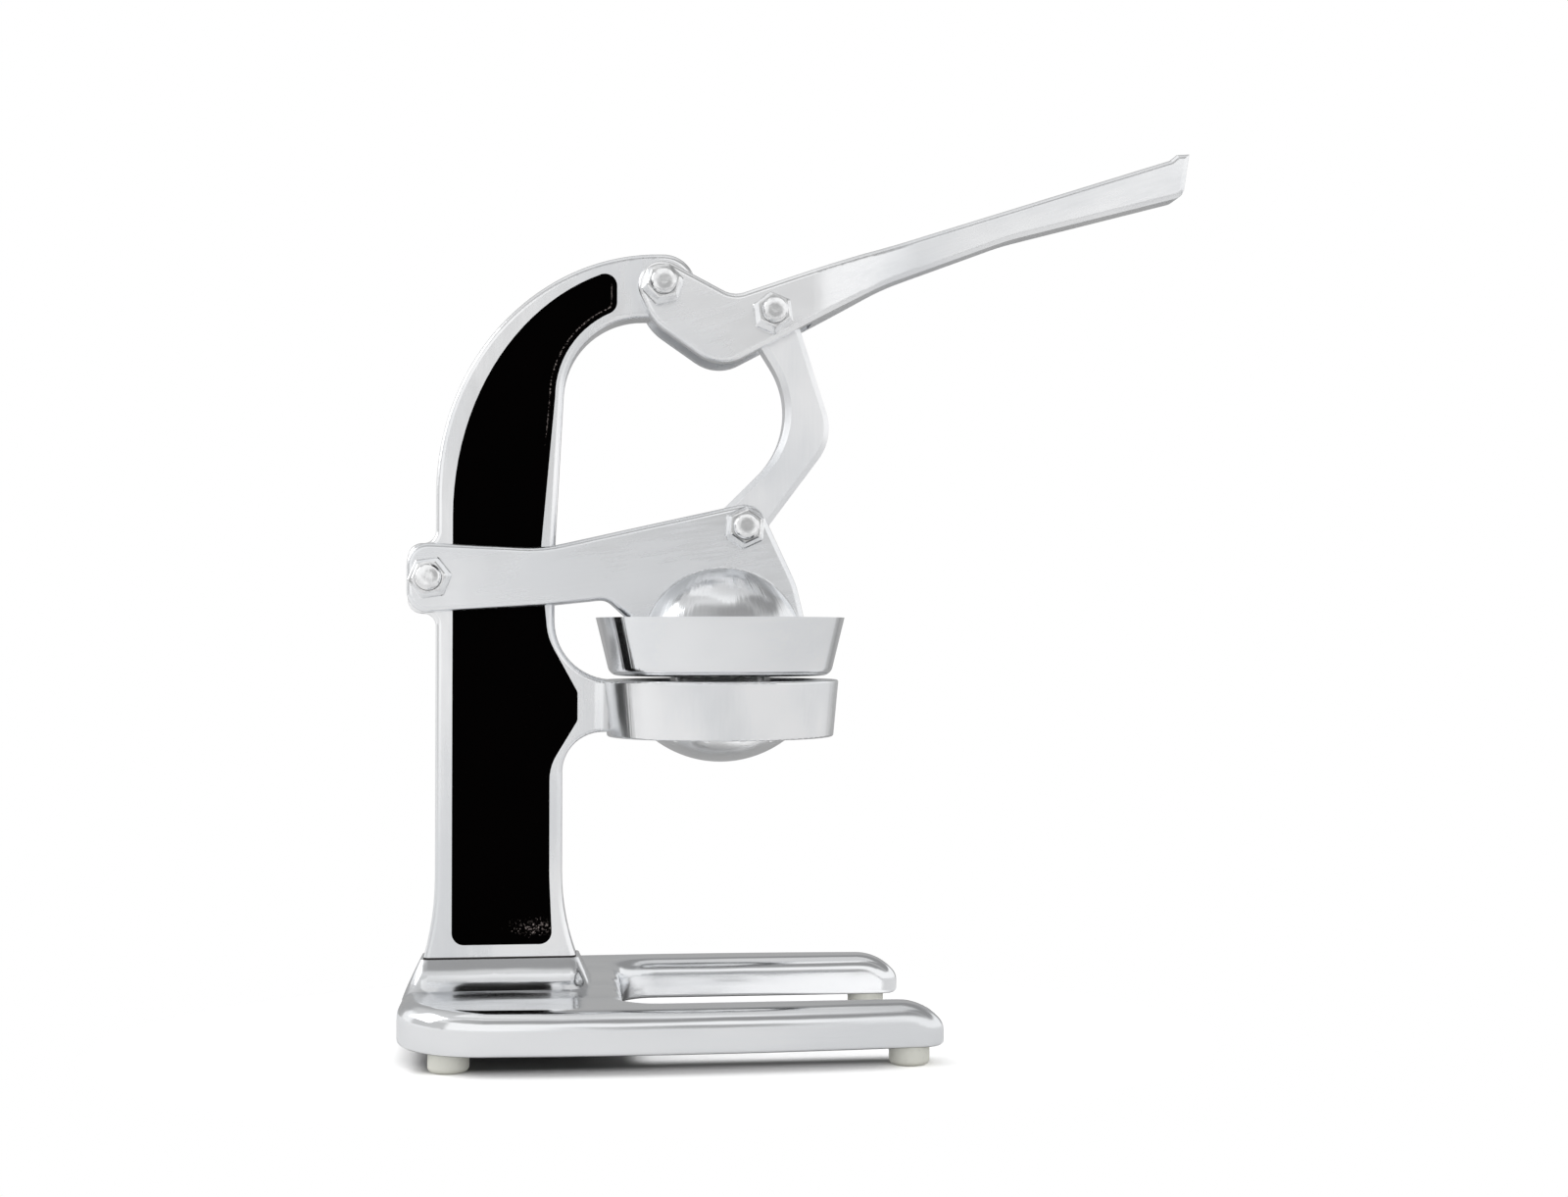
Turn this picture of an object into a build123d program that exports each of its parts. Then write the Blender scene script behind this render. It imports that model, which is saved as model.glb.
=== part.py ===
"""Lever-press citrus juicer in cast aluminium, built as separate named pieces, in millimetres.

The origin is on the table, midway along the whole length and on the plane of symmetry.
+X runs from the column to the lever's tip, +Y away from the viewer and +Z up.
"""

import os
from math import acos, atan2, cos, degrees, hypot, pi, radians, sin, sqrt

from build123d import *

# Reach of the whole object before and behind the axis of the two cups
rear_reach = 117.5
lever_reach = 181.0
cup_axis_x = (rear_reach - lever_reach) / 2

# Clearances
side_gap = 0.3
running_gap = 0.05
seat_gap = 0.3
press_gap = 1.6

# Height of the lower ring's top above the table, from which the upper heights are counted
ring_top = 134.3

# Pivots, as X from the cup axis and height above the ring
lever_pivot = (-22.5, 146.7)
link_top = (18.5, 136.7)
link_foot = (8.0, 56.7)
arm_pivot = (-107.5, 37.7)
open_pivot_play = 2.75

# Pivot bolts and nuts, three-eighths of an inch
bolt_radius = 4.75
wrench_flats = 14.3
bolt_head_height = 6.0
nut_height = 8.2
nut_collar = 2.6
nut_top_flats = 10.8
bolt_stand_out = 3.6
bolt_end_bevel = 0.8

# Column casting
column_thick = 15.0
column_rear = -105.8
column_front = -59.3
waist_front = -62.3
waist_height = 45.7
head_radius = 12.8
head_drop = 11.4
shoulder_height = 69.0
crook_x = -57.5
crook_radius = 30.0
foot_rear = -110.0
foot_front = -54.0
flare_top = 62.0
ear_reach = 8.5
ear_half_height = 13.0
ear_corner_share = 0.5
ear_blend_share = 0.45
neck_depth = 19.3
neck_top_blend = 22.0
neck_low_blend = 15.0
neck_flare = 7.0
neck_flare_margin = 1.2
column_edge_round = 2.2

# Enamelled panels sunk in both faces of the column
panel_rim = 6.2
panel_top_rim = 4.0
panel_front_rim = 4.6
panel_waist_rim = 5.2
panel_throat_rim = 2.3
panel_crook_rim = 4.6
panel_foot_rim = 8.8
panel_low_rim = 4.9
panel_shoulder_drop = 8.3
panel_depth = 2.4
enamel_thick = 0.9
panel_head_end = -39.2
panel_neck_end = -53.6
panel_neck_half = 5.3
panel_neck_drop = 20.0
panel_neck_rise = 17.0
panel_corner = 4.5
panel_flare_blend = 60.0
panel_neck_corner = 3.0
panel_neck_blend = 22.0
panel_neck_low_blend = 18.0
panel_waist_blend = 60.0

# Lower ring, one casting with the column
ring_height = 21.2
ring_top_radius = 44.6
ring_low_radius = 42.6
ring_bore = 40.4
ring_seat_radius = 42.2
ring_edge_round = 0.8

# Strainer bowl with its fluted reamer
bowl_radius = 41.0
bowl_depth = 30.9
bowl_wall = 2.0
flange_thick = 2.2
reamer_base_radius = 21.0
reamer_height = 42.0
reamer_rib_count = 10
reamer_rib_width = 2.4
reamer_rib_depth = 2.2
drain_count = 12
drain_width = 3.0
drain_length = 7.0
drain_ring_radius = 28.0

# Press cup and its two arm plates, with heights above the ring
cup_top = 23.3
cup_top_radius = 46.9
cup_low_radius = 41.6
cup_wall = 3.6
cup_mouth_radius = 34.4
cup_low_round = 4.0
dome_radius = 33.0
dome_wall = 3.6
dome_height = 11.5
trough_floor = 9.2
plate_thick = 6.0
plate_end_half_height = 13.2
plate_end_corner = 8.0
plate_waist_top = 48.8
plate_waist_low = 27.6
plate_waist_x = -66.4
plate_boss_radius = 8.7
plate_front_x = 27.4
plate_front_z = 35.7
plate_low_front_x = 34.2
plate_low_rear_x = -35.5
plate_belly_x = -43.0
plate_belly_z = 30.1
plate_belly_blend = 6.0
plate_waist_round = 60.0
plate_front_round = 30.0
plate_sink = 2.0
plate_edge_round = 2.0

# Curved link, with heights above the ring
link_thick = column_thick
link_top_radius = 9.3
link_foot_radius = 8.75
link_foot_shift = (-1.1, 1.1)
link_elbow = (42.9, 91.3)
link_hollow = (33.0, 96.0)
link_elbow_round = 20.0
link_hollow_round = 33.0
link_bevel = 2.2

# Lever, with heights above the ring
cheek_thick = plate_thick
lever_end_radius = 9.2
lever_valley = (4.0, 143.3)
lever_crest = (53.0, 160.5)
lever_tip_top = 202.3
lever_lip_start = (173.4, 199.7)
lever_lip_back = (176.0, 201.9)
lever_tip_low = (178.4, 185.7)
lever_under_far = (109.0, 167.1)
lever_under_mid = (62.0, 149.4)
lever_belly = (-1.0, 115.6)
lever_chin = (-26.2, 133.0)
lever_tip_round = 5.0
lever_valley_round = 10.0
lever_belly_round = 16.0
lever_chin_round = 20.0
lever_long_round = 90.0
slot_past_link = 16.0
slot_corner = 2.4
bar_width = 15.0
bar_taper_start = 34.0
bar_taper_end = 74.0
lever_edge_round = 2.2

# Base casting
base_bottom = 6.8
base_top = 22.0
base_front = 75.4
base_bulge = 4.7
base_middle_x = -25.0
base_rear_corner = 34.0
bay_rear = -37.0
bay_half = 45.0
bay_corner = 14.0
prong_width = 16.0
prong_outer_share = 0.53
prong_inner_share = 0.45
base_edge_round = 6.2
base_low_round = 1.4
tip_run = 16.0
tip_drop = 8.3
plinth_top = 32.0
plinth_side_margin = 2.0
plinth_end_margin = 1.0
plinth_mid_height = 25.4
plinth_mid_spread = 3.2
plinth_mid_half = 14.0
plinth_low_height = 19.5
plinth_low_spread = 5.6
plinth_low_half = 27.0
plinth_corner = 3.0

# Bolts that hold the column on the plinth, a quarter of an inch
stem_bolt_radius = 3.15
stem_bolt_spots = (-96.0, -68.0)
stem_bolt_depth = 18.0
stem_head_flats = 11.1
stem_head_height = 4.2
stem_pocket_radius = 7.5
stem_pocket_depth = 6.0

# Rubber feet and their screws
rubber_radius = 7.2
rubber_edge_round = 1.8
rear_foot = (-98.0, 50.0)
front_foot = (63.0, 53.5)
screw_radius = 1.7
screw_head_radius = 3.0
screw_head_height = 2.2
screw_pocket_radius = 3.4
screw_pocket_depth = 3.2
screw_bite = 9.0

# Sizes that follow from the ones above
slot_half = column_thick / 2 + side_gap
fork_half = slot_half + cheek_thick
ring_bottom = ring_top - ring_height
bowl_bottom = ring_top - bowl_depth
bowl_centre = bowl_bottom + bowl_radius
base_end_half = bay_half + prong_width
base_middle_half = base_end_half + base_bulge
cup_axis = Axis((cup_axis_x, 0, 0), (0, 0, 1))
tall = 400.0


def spot(place):
    """Return the side-view point whose X is counted from the cup axis."""
    return (cup_axis_x + place[0], place[1])


def over(place):
    """Return the side-view point whose X is counted from the cup axis and height from the ring."""
    return (cup_axis_x + place[0], ring_top + place[1])


def plan(x, y):
    """Return the plan-view point whose X is counted from the cup axis."""
    return (cup_axis_x + x, y)


def nearest(shapes, place):
    """Return the one of the shapes that lies nearest to a sketch point."""
    return shapes.sort_by_distance(Vector(place[0], place[1], 0))[0]


def touch(place, centre, radius, side):
    """Return where a line from an outside point touches a circle, on its left (1) or right (-1)."""
    across = place[0] - centre[0]
    up = place[1] - centre[1]
    turn = atan2(up, across) + side * acos(radius / hypot(across, up))
    return (centre[0] + radius * cos(turn), centre[1] + radius * sin(turn))


def side_plane(distance):
    """Return the side-view plane moved towards the viewer by a distance."""
    return Plane.XZ.offset(distance)


def save(part, name):
    """Label a finished piece and write its file."""
    part.label = name
    export_step(part, f"parts/{name}.step")


os.makedirs("parts", exist_ok=True)

# Base casting: a U of two prongs with a swept plinth for the column
with BuildPart() as base:
    with BuildSketch(Plane.XY.offset(base_bottom)) as base_plan:
        with BuildLine():
            rear_side = plan(-rear_reach, -base_end_half)
            mid_side = plan(base_middle_x, -base_middle_half)
            front_side = plan(base_front, -base_end_half)
            ThreePointArc(rear_side, mid_side, front_side)
            Polyline(
                front_side,
                plan(base_front, -bay_half),
                plan(bay_rear, -bay_half),
                plan(bay_rear, bay_half),
                plan(base_front, bay_half),
                plan(base_front, base_end_half),
            )
            ThreePointArc(
                plan(base_front, base_end_half),
                plan(base_middle_x, base_middle_half),
                plan(-rear_reach, base_end_half),
            )
            Line(plan(-rear_reach, base_end_half), rear_side)
        make_face()
        for side in (-1, 1):
            corner = nearest(base_plan.vertices(), plan(-rear_reach, side * base_end_half))
            fillet(corner, base_rear_corner)
            corner = nearest(base_plan.vertices(), plan(base_front, side * base_end_half))
            fillet(corner, prong_outer_share * prong_width)
            corner = nearest(base_plan.vertices(), plan(base_front, side * bay_half))
            fillet(corner, prong_inner_share * prong_width)
            corner = nearest(base_plan.vertices(), plan(bay_rear, side * bay_half))
            fillet(corner, bay_corner)
    extrude(amount=base_top - base_bottom)
    with BuildSketch(Plane.XZ) as tip_cut:
        with BuildLine():
            tip_start = spot((base_front - tip_run, base_top))
            tip_end = spot((base_front, base_top - tip_drop))
            TangentArc(tip_start, tip_end, tangent=(1, 0))
            Polyline(tip_end, spot((base_front, base_top)), tip_start)
        make_face()
    extrude(amount=base_middle_half, both=True, mode=Mode.SUBTRACT)
    top_faces = [face for face in base.faces() if face.normal_at().Z > 0.2]
    top_edges = [edge for face in top_faces for edge in face.edges()]
    fillet([edge for edge in top_edges if top_edges.count(edge) == 1], base_edge_round)
    fillet(base.faces().sort_by(Axis.Z)[0].edges(), base_low_round)

    plinth_middle_x = (foot_rear + foot_front) / 2
    plinth_half_length = (foot_front - foot_rear) / 2 + plinth_end_margin
    plinth_half_width = column_thick / 2 + plinth_side_margin
    plinth_steps = (
        (plinth_low_height, plinth_low_spread, plinth_low_half),
        (plinth_mid_height, plinth_mid_spread, plinth_mid_half),
        (plinth_top, 0, plinth_half_width),
    )
    for height, spread, half_width in plinth_steps:
        with BuildSketch(Plane.XY.offset(height)) as plinth_step:
            with Locations(plan(plinth_middle_x, 0)):
                RectangleRounded(
                    2 * (plinth_half_length + spread),
                    2 * half_width,
                    plinth_corner + spread,
                )
    loft()

    with BuildSketch(Plane.XY.offset(base_bottom)) as stem_holes:
        with Locations(*[plan(x, 0) for x in stem_bolt_spots]):
            Circle(stem_bolt_radius + running_gap)
    extrude(amount=tall, mode=Mode.SUBTRACT)
    with BuildSketch(Plane.XY.offset(base_bottom)) as stem_pockets:
        with Locations(*[plan(x, 0) for x in stem_bolt_spots]):
            Circle(stem_pocket_radius)
    extrude(amount=stem_pocket_depth, mode=Mode.SUBTRACT)

    foot_spots = [plan(x, side * y) for x, y in (rear_foot, front_foot) for side in (-1, 1)]
    with BuildSketch(Plane.XY.offset(base_bottom)) as screw_holes:
        with Locations(*foot_spots):
            Circle(screw_radius + running_gap)
    extrude(amount=screw_bite, mode=Mode.SUBTRACT)
save(base.part, "base_casting")

# Column outline without its rear ear
head_top = (lever_pivot[0], lever_pivot[1] + head_radius)
head_front = (lever_pivot[0] + head_radius, lever_pivot[1])
head_low = (lever_pivot[0], lever_pivot[1] - head_drop)
crook_corner = (crook_x, head_low[1])
neck_end = -ring_bore + bowl_wall
neck_top_corner = (waist_front, 0)
neck_low_corner = (column_front, -neck_depth)

with BuildSketch(Plane.XZ) as column_blank:
    with BuildLine():
        TangentArc(spot((column_rear, flare_top)), spot((foot_rear, plinth_top)), tangent=(0, -1))
        Line(spot((column_rear, flare_top)), over((column_rear, shoulder_height)))
        EllipticalCenterArc(
            over((lever_pivot[0], shoulder_height)),
            lever_pivot[0] - column_rear,
            head_top[1] - shoulder_height,
            start_angle=90,
            arc_size=90,
        )
        ThreePointArc(over(head_top), over(head_front), over(head_low))
        Polyline(
            over(head_low),
            over(crook_corner),
            over((waist_front, waist_height)),
            over(neck_top_corner),
            over((neck_end, 0)),
            over((neck_end, -neck_depth)),
            over(neck_low_corner),
            spot((column_front, flare_top)),
        )
        TangentArc(spot((column_front, flare_top)), spot((foot_front, plinth_top)), tangent=(0, -1))
        Line(spot((foot_front, plinth_top)), spot((foot_rear, plinth_top)))
    make_face()
    fillet(nearest(column_blank.vertices(), over(crook_corner)), crook_radius)
    fillet(nearest(column_blank.vertices(), over(neck_top_corner)), neck_top_blend)
    fillet(nearest(column_blank.vertices(), over(neck_low_corner)), neck_low_blend)

# Outline of the sunk panels: the column's outline drawn in by the rims, with an end at head and neck
panel_rear = column_rear + panel_rim
panel_front = column_front - panel_front_rim
panel_low = plinth_top + panel_low_rim
panel_foot_front = foot_front - panel_foot_rim
panel_shoulder = shoulder_height - panel_shoulder_drop
panel_arch_x = lever_pivot[0] - panel_rear
panel_arch_z = head_top[1] - panel_top_rim - panel_shoulder
panel_arch_end = acos((panel_head_end - lever_pivot[0]) / panel_arch_x)
panel_head_top = (panel_head_end, panel_shoulder + panel_arch_z * sin(panel_arch_end))
crook_centre = (crook_x + crook_radius, head_low[1] - crook_radius)
panel_crook_radius = crook_radius + panel_crook_rim
panel_crook_turn = acos((panel_head_end - crook_centre[0]) / panel_crook_radius)
panel_head_low = (panel_head_end, crook_centre[1] + panel_crook_radius * sin(panel_crook_turn))
panel_crook_low = (crook_centre[0] - panel_crook_radius, crook_centre[1])
panel_neck_top = (panel_neck_end, panel_neck_half - neck_depth / 2)
panel_neck_low = (panel_neck_end, -panel_neck_half - neck_depth / 2)
panel_waist = (waist_front - panel_waist_rim, waist_height)
panel_throat = (waist_front - panel_throat_rim, panel_neck_top[1] + panel_neck_drop)
panel_knee = (panel_front, panel_neck_low[1] - panel_neck_rise)
with BuildSketch(Plane.XZ) as panel_outline:
    with BuildLine():
        Line(spot((panel_rear, panel_low)), over((panel_rear, panel_shoulder)))
        EllipticalCenterArc(
            over((lever_pivot[0], panel_shoulder)),
            panel_arch_x,
            panel_arch_z,
            start_angle=degrees(panel_arch_end),
            arc_size=180 - degrees(panel_arch_end),
        )
        Line(over(panel_head_top), over(panel_head_low))
        CenterArc(
            over(crook_centre),
            panel_crook_radius,
            start_angle=degrees(panel_crook_turn),
            arc_size=180 - degrees(panel_crook_turn),
        )
        Polyline(
            over(panel_crook_low),
            over(panel_waist),
            over(panel_throat),
            over(panel_neck_top),
            over(panel_neck_low),
            over(panel_knee),
            spot((panel_front, flare_top)),
            spot((panel_foot_front, panel_low)),
            spot((panel_rear, panel_low)),
        )
    make_face()
    panel_rounds = (
        (spot((panel_rear, panel_low)), panel_corner),
        (spot((panel_foot_front, panel_low)), panel_corner),
        (spot((panel_front, flare_top)), panel_flare_blend),
        (over(panel_head_top), panel_corner),
        (over(panel_head_low), panel_corner),
        (over(panel_waist), panel_waist_blend),
        (over(panel_throat), panel_neck_blend),
        (over(panel_neck_top), panel_neck_corner),
        (over(panel_neck_low), panel_neck_corner),
        (over(panel_knee), panel_neck_low_blend),
    )
    for corner, radius in panel_rounds:
        fillet(nearest(panel_outline.vertices(), corner), radius)

# Column casting with its head, rear ear, neck and lower ring
ear_stick_out = column_rear - arm_pivot[0] + ear_reach
ear_length = ear_stick_out + (column_front - column_rear) / 2
ear_middle = arm_pivot[0] - ear_reach + ear_length / 2
with BuildPart() as column:
    with BuildSketch(Plane.XZ) as column_outline:
        add(column_blank.sketch_local)
        with Locations(over((ear_middle, arm_pivot[1]))):
            RectangleRounded(ear_length, 2 * ear_half_height, ear_corner_share * ear_stick_out)
        for side in (-1, 1):
            ear_root = over((column_rear, arm_pivot[1] + side * ear_half_height))
            fillet(nearest(column_outline.vertices(), ear_root), ear_blend_share * ear_stick_out)
    extrude(amount=column_thick / 2, both=True)
    rim_edges = column.faces().sort_by(Axis.Y)[0].edges() + column.faces().sort_by(Axis.Y)[-1].edges()
    fillet([edge for edge in rim_edges if edge.center().Z > plinth_top + 1], column_edge_round)

    with BuildSketch(Plane.XZ) as ring_section:
        with BuildLine():
            Polyline(
                spot((ring_bore, ring_bottom)),
                spot((ring_low_radius, ring_bottom)),
                spot((ring_top_radius, ring_top)),
                spot((ring_bore, ring_top)),
                close=True,
            )
        make_face()
        fillet(nearest(ring_section.vertices(), spot((ring_low_radius, ring_bottom))), ring_edge_round)
        fillet(nearest(ring_section.vertices(), spot((ring_top_radius, ring_top))), ring_edge_round)
    revolve(axis=cup_axis)
    with BuildSketch(Plane.XY.offset(ring_top - neck_depth + neck_flare_margin)) as flare_plan:
        with Locations(plan((panel_neck_end + neck_end) / 2, 0)):
            Rectangle(neck_end - panel_neck_end, column_thick)
        with Locations(plan(0, 0)):
            Circle(ring_low_radius)
        for side in (-1, 1):
            root_x = -sqrt(ring_low_radius**2 - (column_thick / 2) ** 2)
            fillet(nearest(flare_plan.vertices(), plan(root_x, side * column_thick / 2)), neck_flare)
    extrude(amount=neck_depth - 2 * neck_flare_margin)
    with BuildSketch(Plane.XY.offset(ring_bottom - neck_low_blend)) as ring_hole:
        with Locations(plan(0, 0)):
            Circle(ring_bore)
    extrude(amount=ring_height + neck_low_blend + neck_top_blend, mode=Mode.SUBTRACT)
    with BuildSketch(Plane.XY.offset(ring_top - flange_thick)) as ring_seat:
        with Locations(plan(0, 0)):
            Circle(ring_seat_radius)
    extrude(amount=flange_thick + neck_top_blend, mode=Mode.SUBTRACT)

    for face_side in (1, -1):
        with BuildSketch(side_plane(face_side * column_thick / 2)):
            add(panel_outline.sketch_local)
        extrude(amount=-face_side * panel_depth, mode=Mode.SUBTRACT)
    with BuildSketch(Plane.XZ) as pivot_holes:
        with Locations(over(lever_pivot), over(arm_pivot)):
            Circle(bolt_radius + running_gap)
    extrude(amount=column_thick, both=True, mode=Mode.SUBTRACT)
    with BuildSketch(Plane.XY.offset(plinth_top)) as stem_threads:
        with Locations(*[plan(x, 0) for x in stem_bolt_spots]):
            Circle(stem_bolt_radius + running_gap)
    extrude(amount=stem_bolt_depth + running_gap, mode=Mode.SUBTRACT)
save(column.part, "column_casting")

# Black enamel on the floor of each sunk panel
for face_side, name in ((1, "enamel_panel_near"), (-1, "enamel_panel_far")):
    with BuildPart() as enamel:
        with BuildSketch(side_plane(face_side * (column_thick / 2 - panel_depth))):
            add(panel_outline.sketch_local)
        extrude(amount=face_side * enamel_thick)
    save(enamel.part, name)

# Strainer: a drained bowl hung in the ring by its flange, with a fluted reamer in the middle
flange_radius = ring_seat_radius - seat_gap
flange_low = ring_top - flange_thick
bowl_lip_radius = sqrt(bowl_radius**2 - (bowl_centre - flange_low) ** 2)
bowl_inside = bowl_radius - bowl_wall
lip_inside = sqrt(bowl_inside**2 - (bowl_centre - ring_top) ** 2)
reamer_foot = bowl_centre - sqrt(bowl_inside**2 - reamer_base_radius**2) - bowl_wall / 2
reamer_top = reamer_foot + reamer_height
with BuildPart() as strainer:
    with BuildSketch(Plane.XZ) as bowl_section:
        with BuildLine():
            outer_mid = radians(45)
            bowl_low = spot((0, bowl_bottom))
            ThreePointArc(
                bowl_low,
                spot((bowl_radius * sin(outer_mid), bowl_centre - bowl_radius * cos(outer_mid))),
                spot((bowl_lip_radius, flange_low)),
            )
            Polyline(
                spot((bowl_lip_radius, flange_low)),
                spot((flange_radius, flange_low)),
                spot((flange_radius, ring_top)),
                spot((lip_inside, ring_top)),
            )
            ThreePointArc(
                spot((lip_inside, ring_top)),
                spot((bowl_inside * sin(outer_mid), bowl_centre - bowl_inside * cos(outer_mid))),
                spot((0, bowl_bottom + bowl_wall)),
            )
            Line(spot((0, bowl_bottom + bowl_wall)), bowl_low)
        make_face()
    revolve(axis=cup_axis)
    with BuildSketch(Plane.XZ) as reamer_section:
        with BuildLine():
            Polyline(
                spot((0, reamer_top)),
                spot((0, reamer_foot)),
                spot((reamer_base_radius, reamer_foot)),
            )
            Spline(
                spot((reamer_base_radius, reamer_foot)),
                spot((0, reamer_top)),
                tangents=[(-0.35, 1), (-1, 0)],
            )
        make_face()
    revolve(axis=cup_axis)
    with BuildSketch(Plane.XZ) as rib_section:
        with BuildLine():
            Polyline(
                spot((0, reamer_top + reamer_rib_depth)),
                spot((0, reamer_foot)),
                spot((reamer_base_radius + reamer_rib_depth, reamer_foot)),
            )
            Spline(
                spot((reamer_base_radius + reamer_rib_depth, reamer_foot)),
                spot((0, reamer_top + reamer_rib_depth)),
                tangents=[(-0.35, 1), (-1, 0)],
            )
        make_face()
    rib_blank = extrude(amount=reamer_rib_width / 2, both=True, mode=Mode.PRIVATE)
    for turn in range(reamer_rib_count):
        add(rib_blank.rotate(cup_axis, turn * 360 / reamer_rib_count))
    with BuildSketch(Plane.XY.offset(bowl_bottom)) as drains:
        with Locations(plan(0, 0)):
            with PolarLocations(drain_ring_radius, drain_count, start_angle=180 / drain_count):
                SlotOverall(drain_length, drain_width)
    extrude(amount=bowl_radius, mode=Mode.SUBTRACT)
save(strainer.part, "strainer")

# Press arm: two plates astride the column that carry the domed press cup
plate_end_rear = arm_pivot[0] - ear_reach
plate_end_top = (plate_end_rear, arm_pivot[1] + plate_end_half_height)
plate_end_low = (plate_end_rear, arm_pivot[1] - plate_end_half_height)
plate_waist = (plate_waist_x, plate_waist_top)
plate_front = (plate_front_x, plate_front_z)
plate_belly = (plate_belly_x, plate_belly_z)
plate_foot = trough_floor - plate_sink
with BuildSketch(Plane.XZ) as plate_outline:
    with BuildLine():
        Polyline(
            over(plate_end_low),
            over(plate_end_top),
            over(plate_waist),
            over(touch(plate_waist, link_foot, plate_boss_radius, -1)),
            over(link_foot),
            over(touch(plate_front, link_foot, plate_boss_radius, 1)),
            over(plate_front),
            over((plate_low_front_x, plate_foot)),
            over((plate_low_rear_x, plate_foot)),
            over((plate_low_rear_x, cup_top)),
            over(plate_belly),
            over((plate_waist_x, plate_waist_low)),
            close=True,
        )
    make_face()
    with Locations(over(link_foot)):
        Circle(plate_boss_radius)
    plate_rounds = (
        (plate_end_low, plate_end_corner),
        (plate_end_top, plate_end_corner),
        (plate_waist, plate_waist_round),
        (plate_front, plate_front_round),
        (plate_belly, plate_belly_blend),
        ((plate_waist_x, plate_waist_low), plate_waist_round),
    )
    for corner, radius in plate_rounds:
        fillet(nearest(plate_outline.vertices(), over(corner)), radius)
with BuildPart() as arm:
    for face_side in (1, -1):
        with BuildSketch(side_plane(face_side * slot_half)):
            add(plate_outline.sketch_local)
        extrude(amount=face_side * plate_thick)
    plate_edges = arm.faces().sort_by(Axis.Y)[0].edges() + arm.faces().sort_by(Axis.Y)[-1].edges()
    fillet([edge for edge in plate_edges if edge.center().Z > ring_top + trough_floor], plate_edge_round)
    with BuildSketch(Plane.XZ) as cup_section:
        with BuildLine():
            dome_foot = over((dome_radius, dome_height))
            dome_mid = over((dome_radius * sin(pi / 4), dome_height + dome_radius * cos(pi / 4)))
            ThreePointArc(over((0, dome_height + dome_radius)), dome_mid, dome_foot)
            wall_lean = (cup_top_radius - cup_low_radius) / (cup_top - press_gap)
            trough_edge = cup_low_radius + (trough_floor - press_gap) * wall_lean - cup_wall
            Polyline(
                dome_foot,
                over((dome_radius, trough_floor)),
                over((trough_edge, trough_floor)),
                over((cup_top_radius - cup_wall, cup_top)),
                over((cup_top_radius, cup_top)),
                over((cup_low_radius, press_gap)),
                over((0, press_gap)),
                over((0, dome_height + dome_radius)),
            )
        make_face()
        fillet(nearest(cup_section.vertices(), over((cup_low_radius, press_gap))), cup_low_round)
    revolve(axis=cup_axis)
    with BuildSketch(Plane.XZ) as hollow_section:
        with BuildLine():
            hollow_radius = dome_radius - dome_wall
            hollow_foot = over((hollow_radius, dome_height))
            hollow_mid = over((hollow_radius * sin(pi / 4), dome_height + hollow_radius * cos(pi / 4)))
            ThreePointArc(over((0, dome_height + hollow_radius)), hollow_mid, hollow_foot)
            Polyline(
                hollow_foot,
                over((cup_mouth_radius, press_gap)),
                over((0, press_gap)),
                over((0, dome_height + hollow_radius)),
            )
        make_face()
    revolve(axis=cup_axis, mode=Mode.SUBTRACT)
    with BuildSketch(Plane.XZ) as arm_holes:
        with Locations(over(link_foot), over(arm_pivot)):
            Circle(bolt_radius + running_gap)
    extrude(amount=fork_half + side_gap, both=True, mode=Mode.SUBTRACT)
save(arm.part, "press_arm")

# Curved link between the lever and the press arm
link_foot_end = (link_foot[0] + link_foot_shift[0], link_foot[1] + link_foot_shift[1])
with BuildPart() as link:
    with BuildSketch(Plane.XZ) as link_outline:
        with BuildLine():
            Polyline(
                over(link_top),
                over(touch(link_hollow, link_top, link_top_radius, -1)),
                over(link_hollow),
                over(touch(link_hollow, link_foot_end, link_foot_radius, 1)),
                over(link_foot_end),
                over(touch(link_elbow, link_foot_end, link_foot_radius, -1)),
                over(link_elbow),
                over(touch(link_elbow, link_top, link_top_radius, 1)),
                close=True,
            )
        make_face()
        fillet(nearest(link_outline.vertices(), over(link_elbow)), link_elbow_round)
        fillet(nearest(link_outline.vertices(), over(link_hollow)), link_hollow_round)
        with Locations(over(link_top)):
            Circle(link_top_radius)
        with Locations(over(link_foot_end)):
            Circle(link_foot_radius)
    extrude(amount=link_thick / 2, both=True)
    link_edges = link.faces().sort_by(Axis.Y)[0].edges() + link.faces().sort_by(Axis.Y)[-1].edges()
    chamfer(link_edges, link_bevel)
    with BuildSketch(Plane.XZ) as link_holes:
        with Locations(over(link_foot)):
            Circle(bolt_radius + running_gap)
        with Locations(over(link_top)):
            Circle(bolt_radius + open_pivot_play)
    extrude(amount=link_thick, both=True, mode=Mode.SUBTRACT)
save(link.part, "link")

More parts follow.
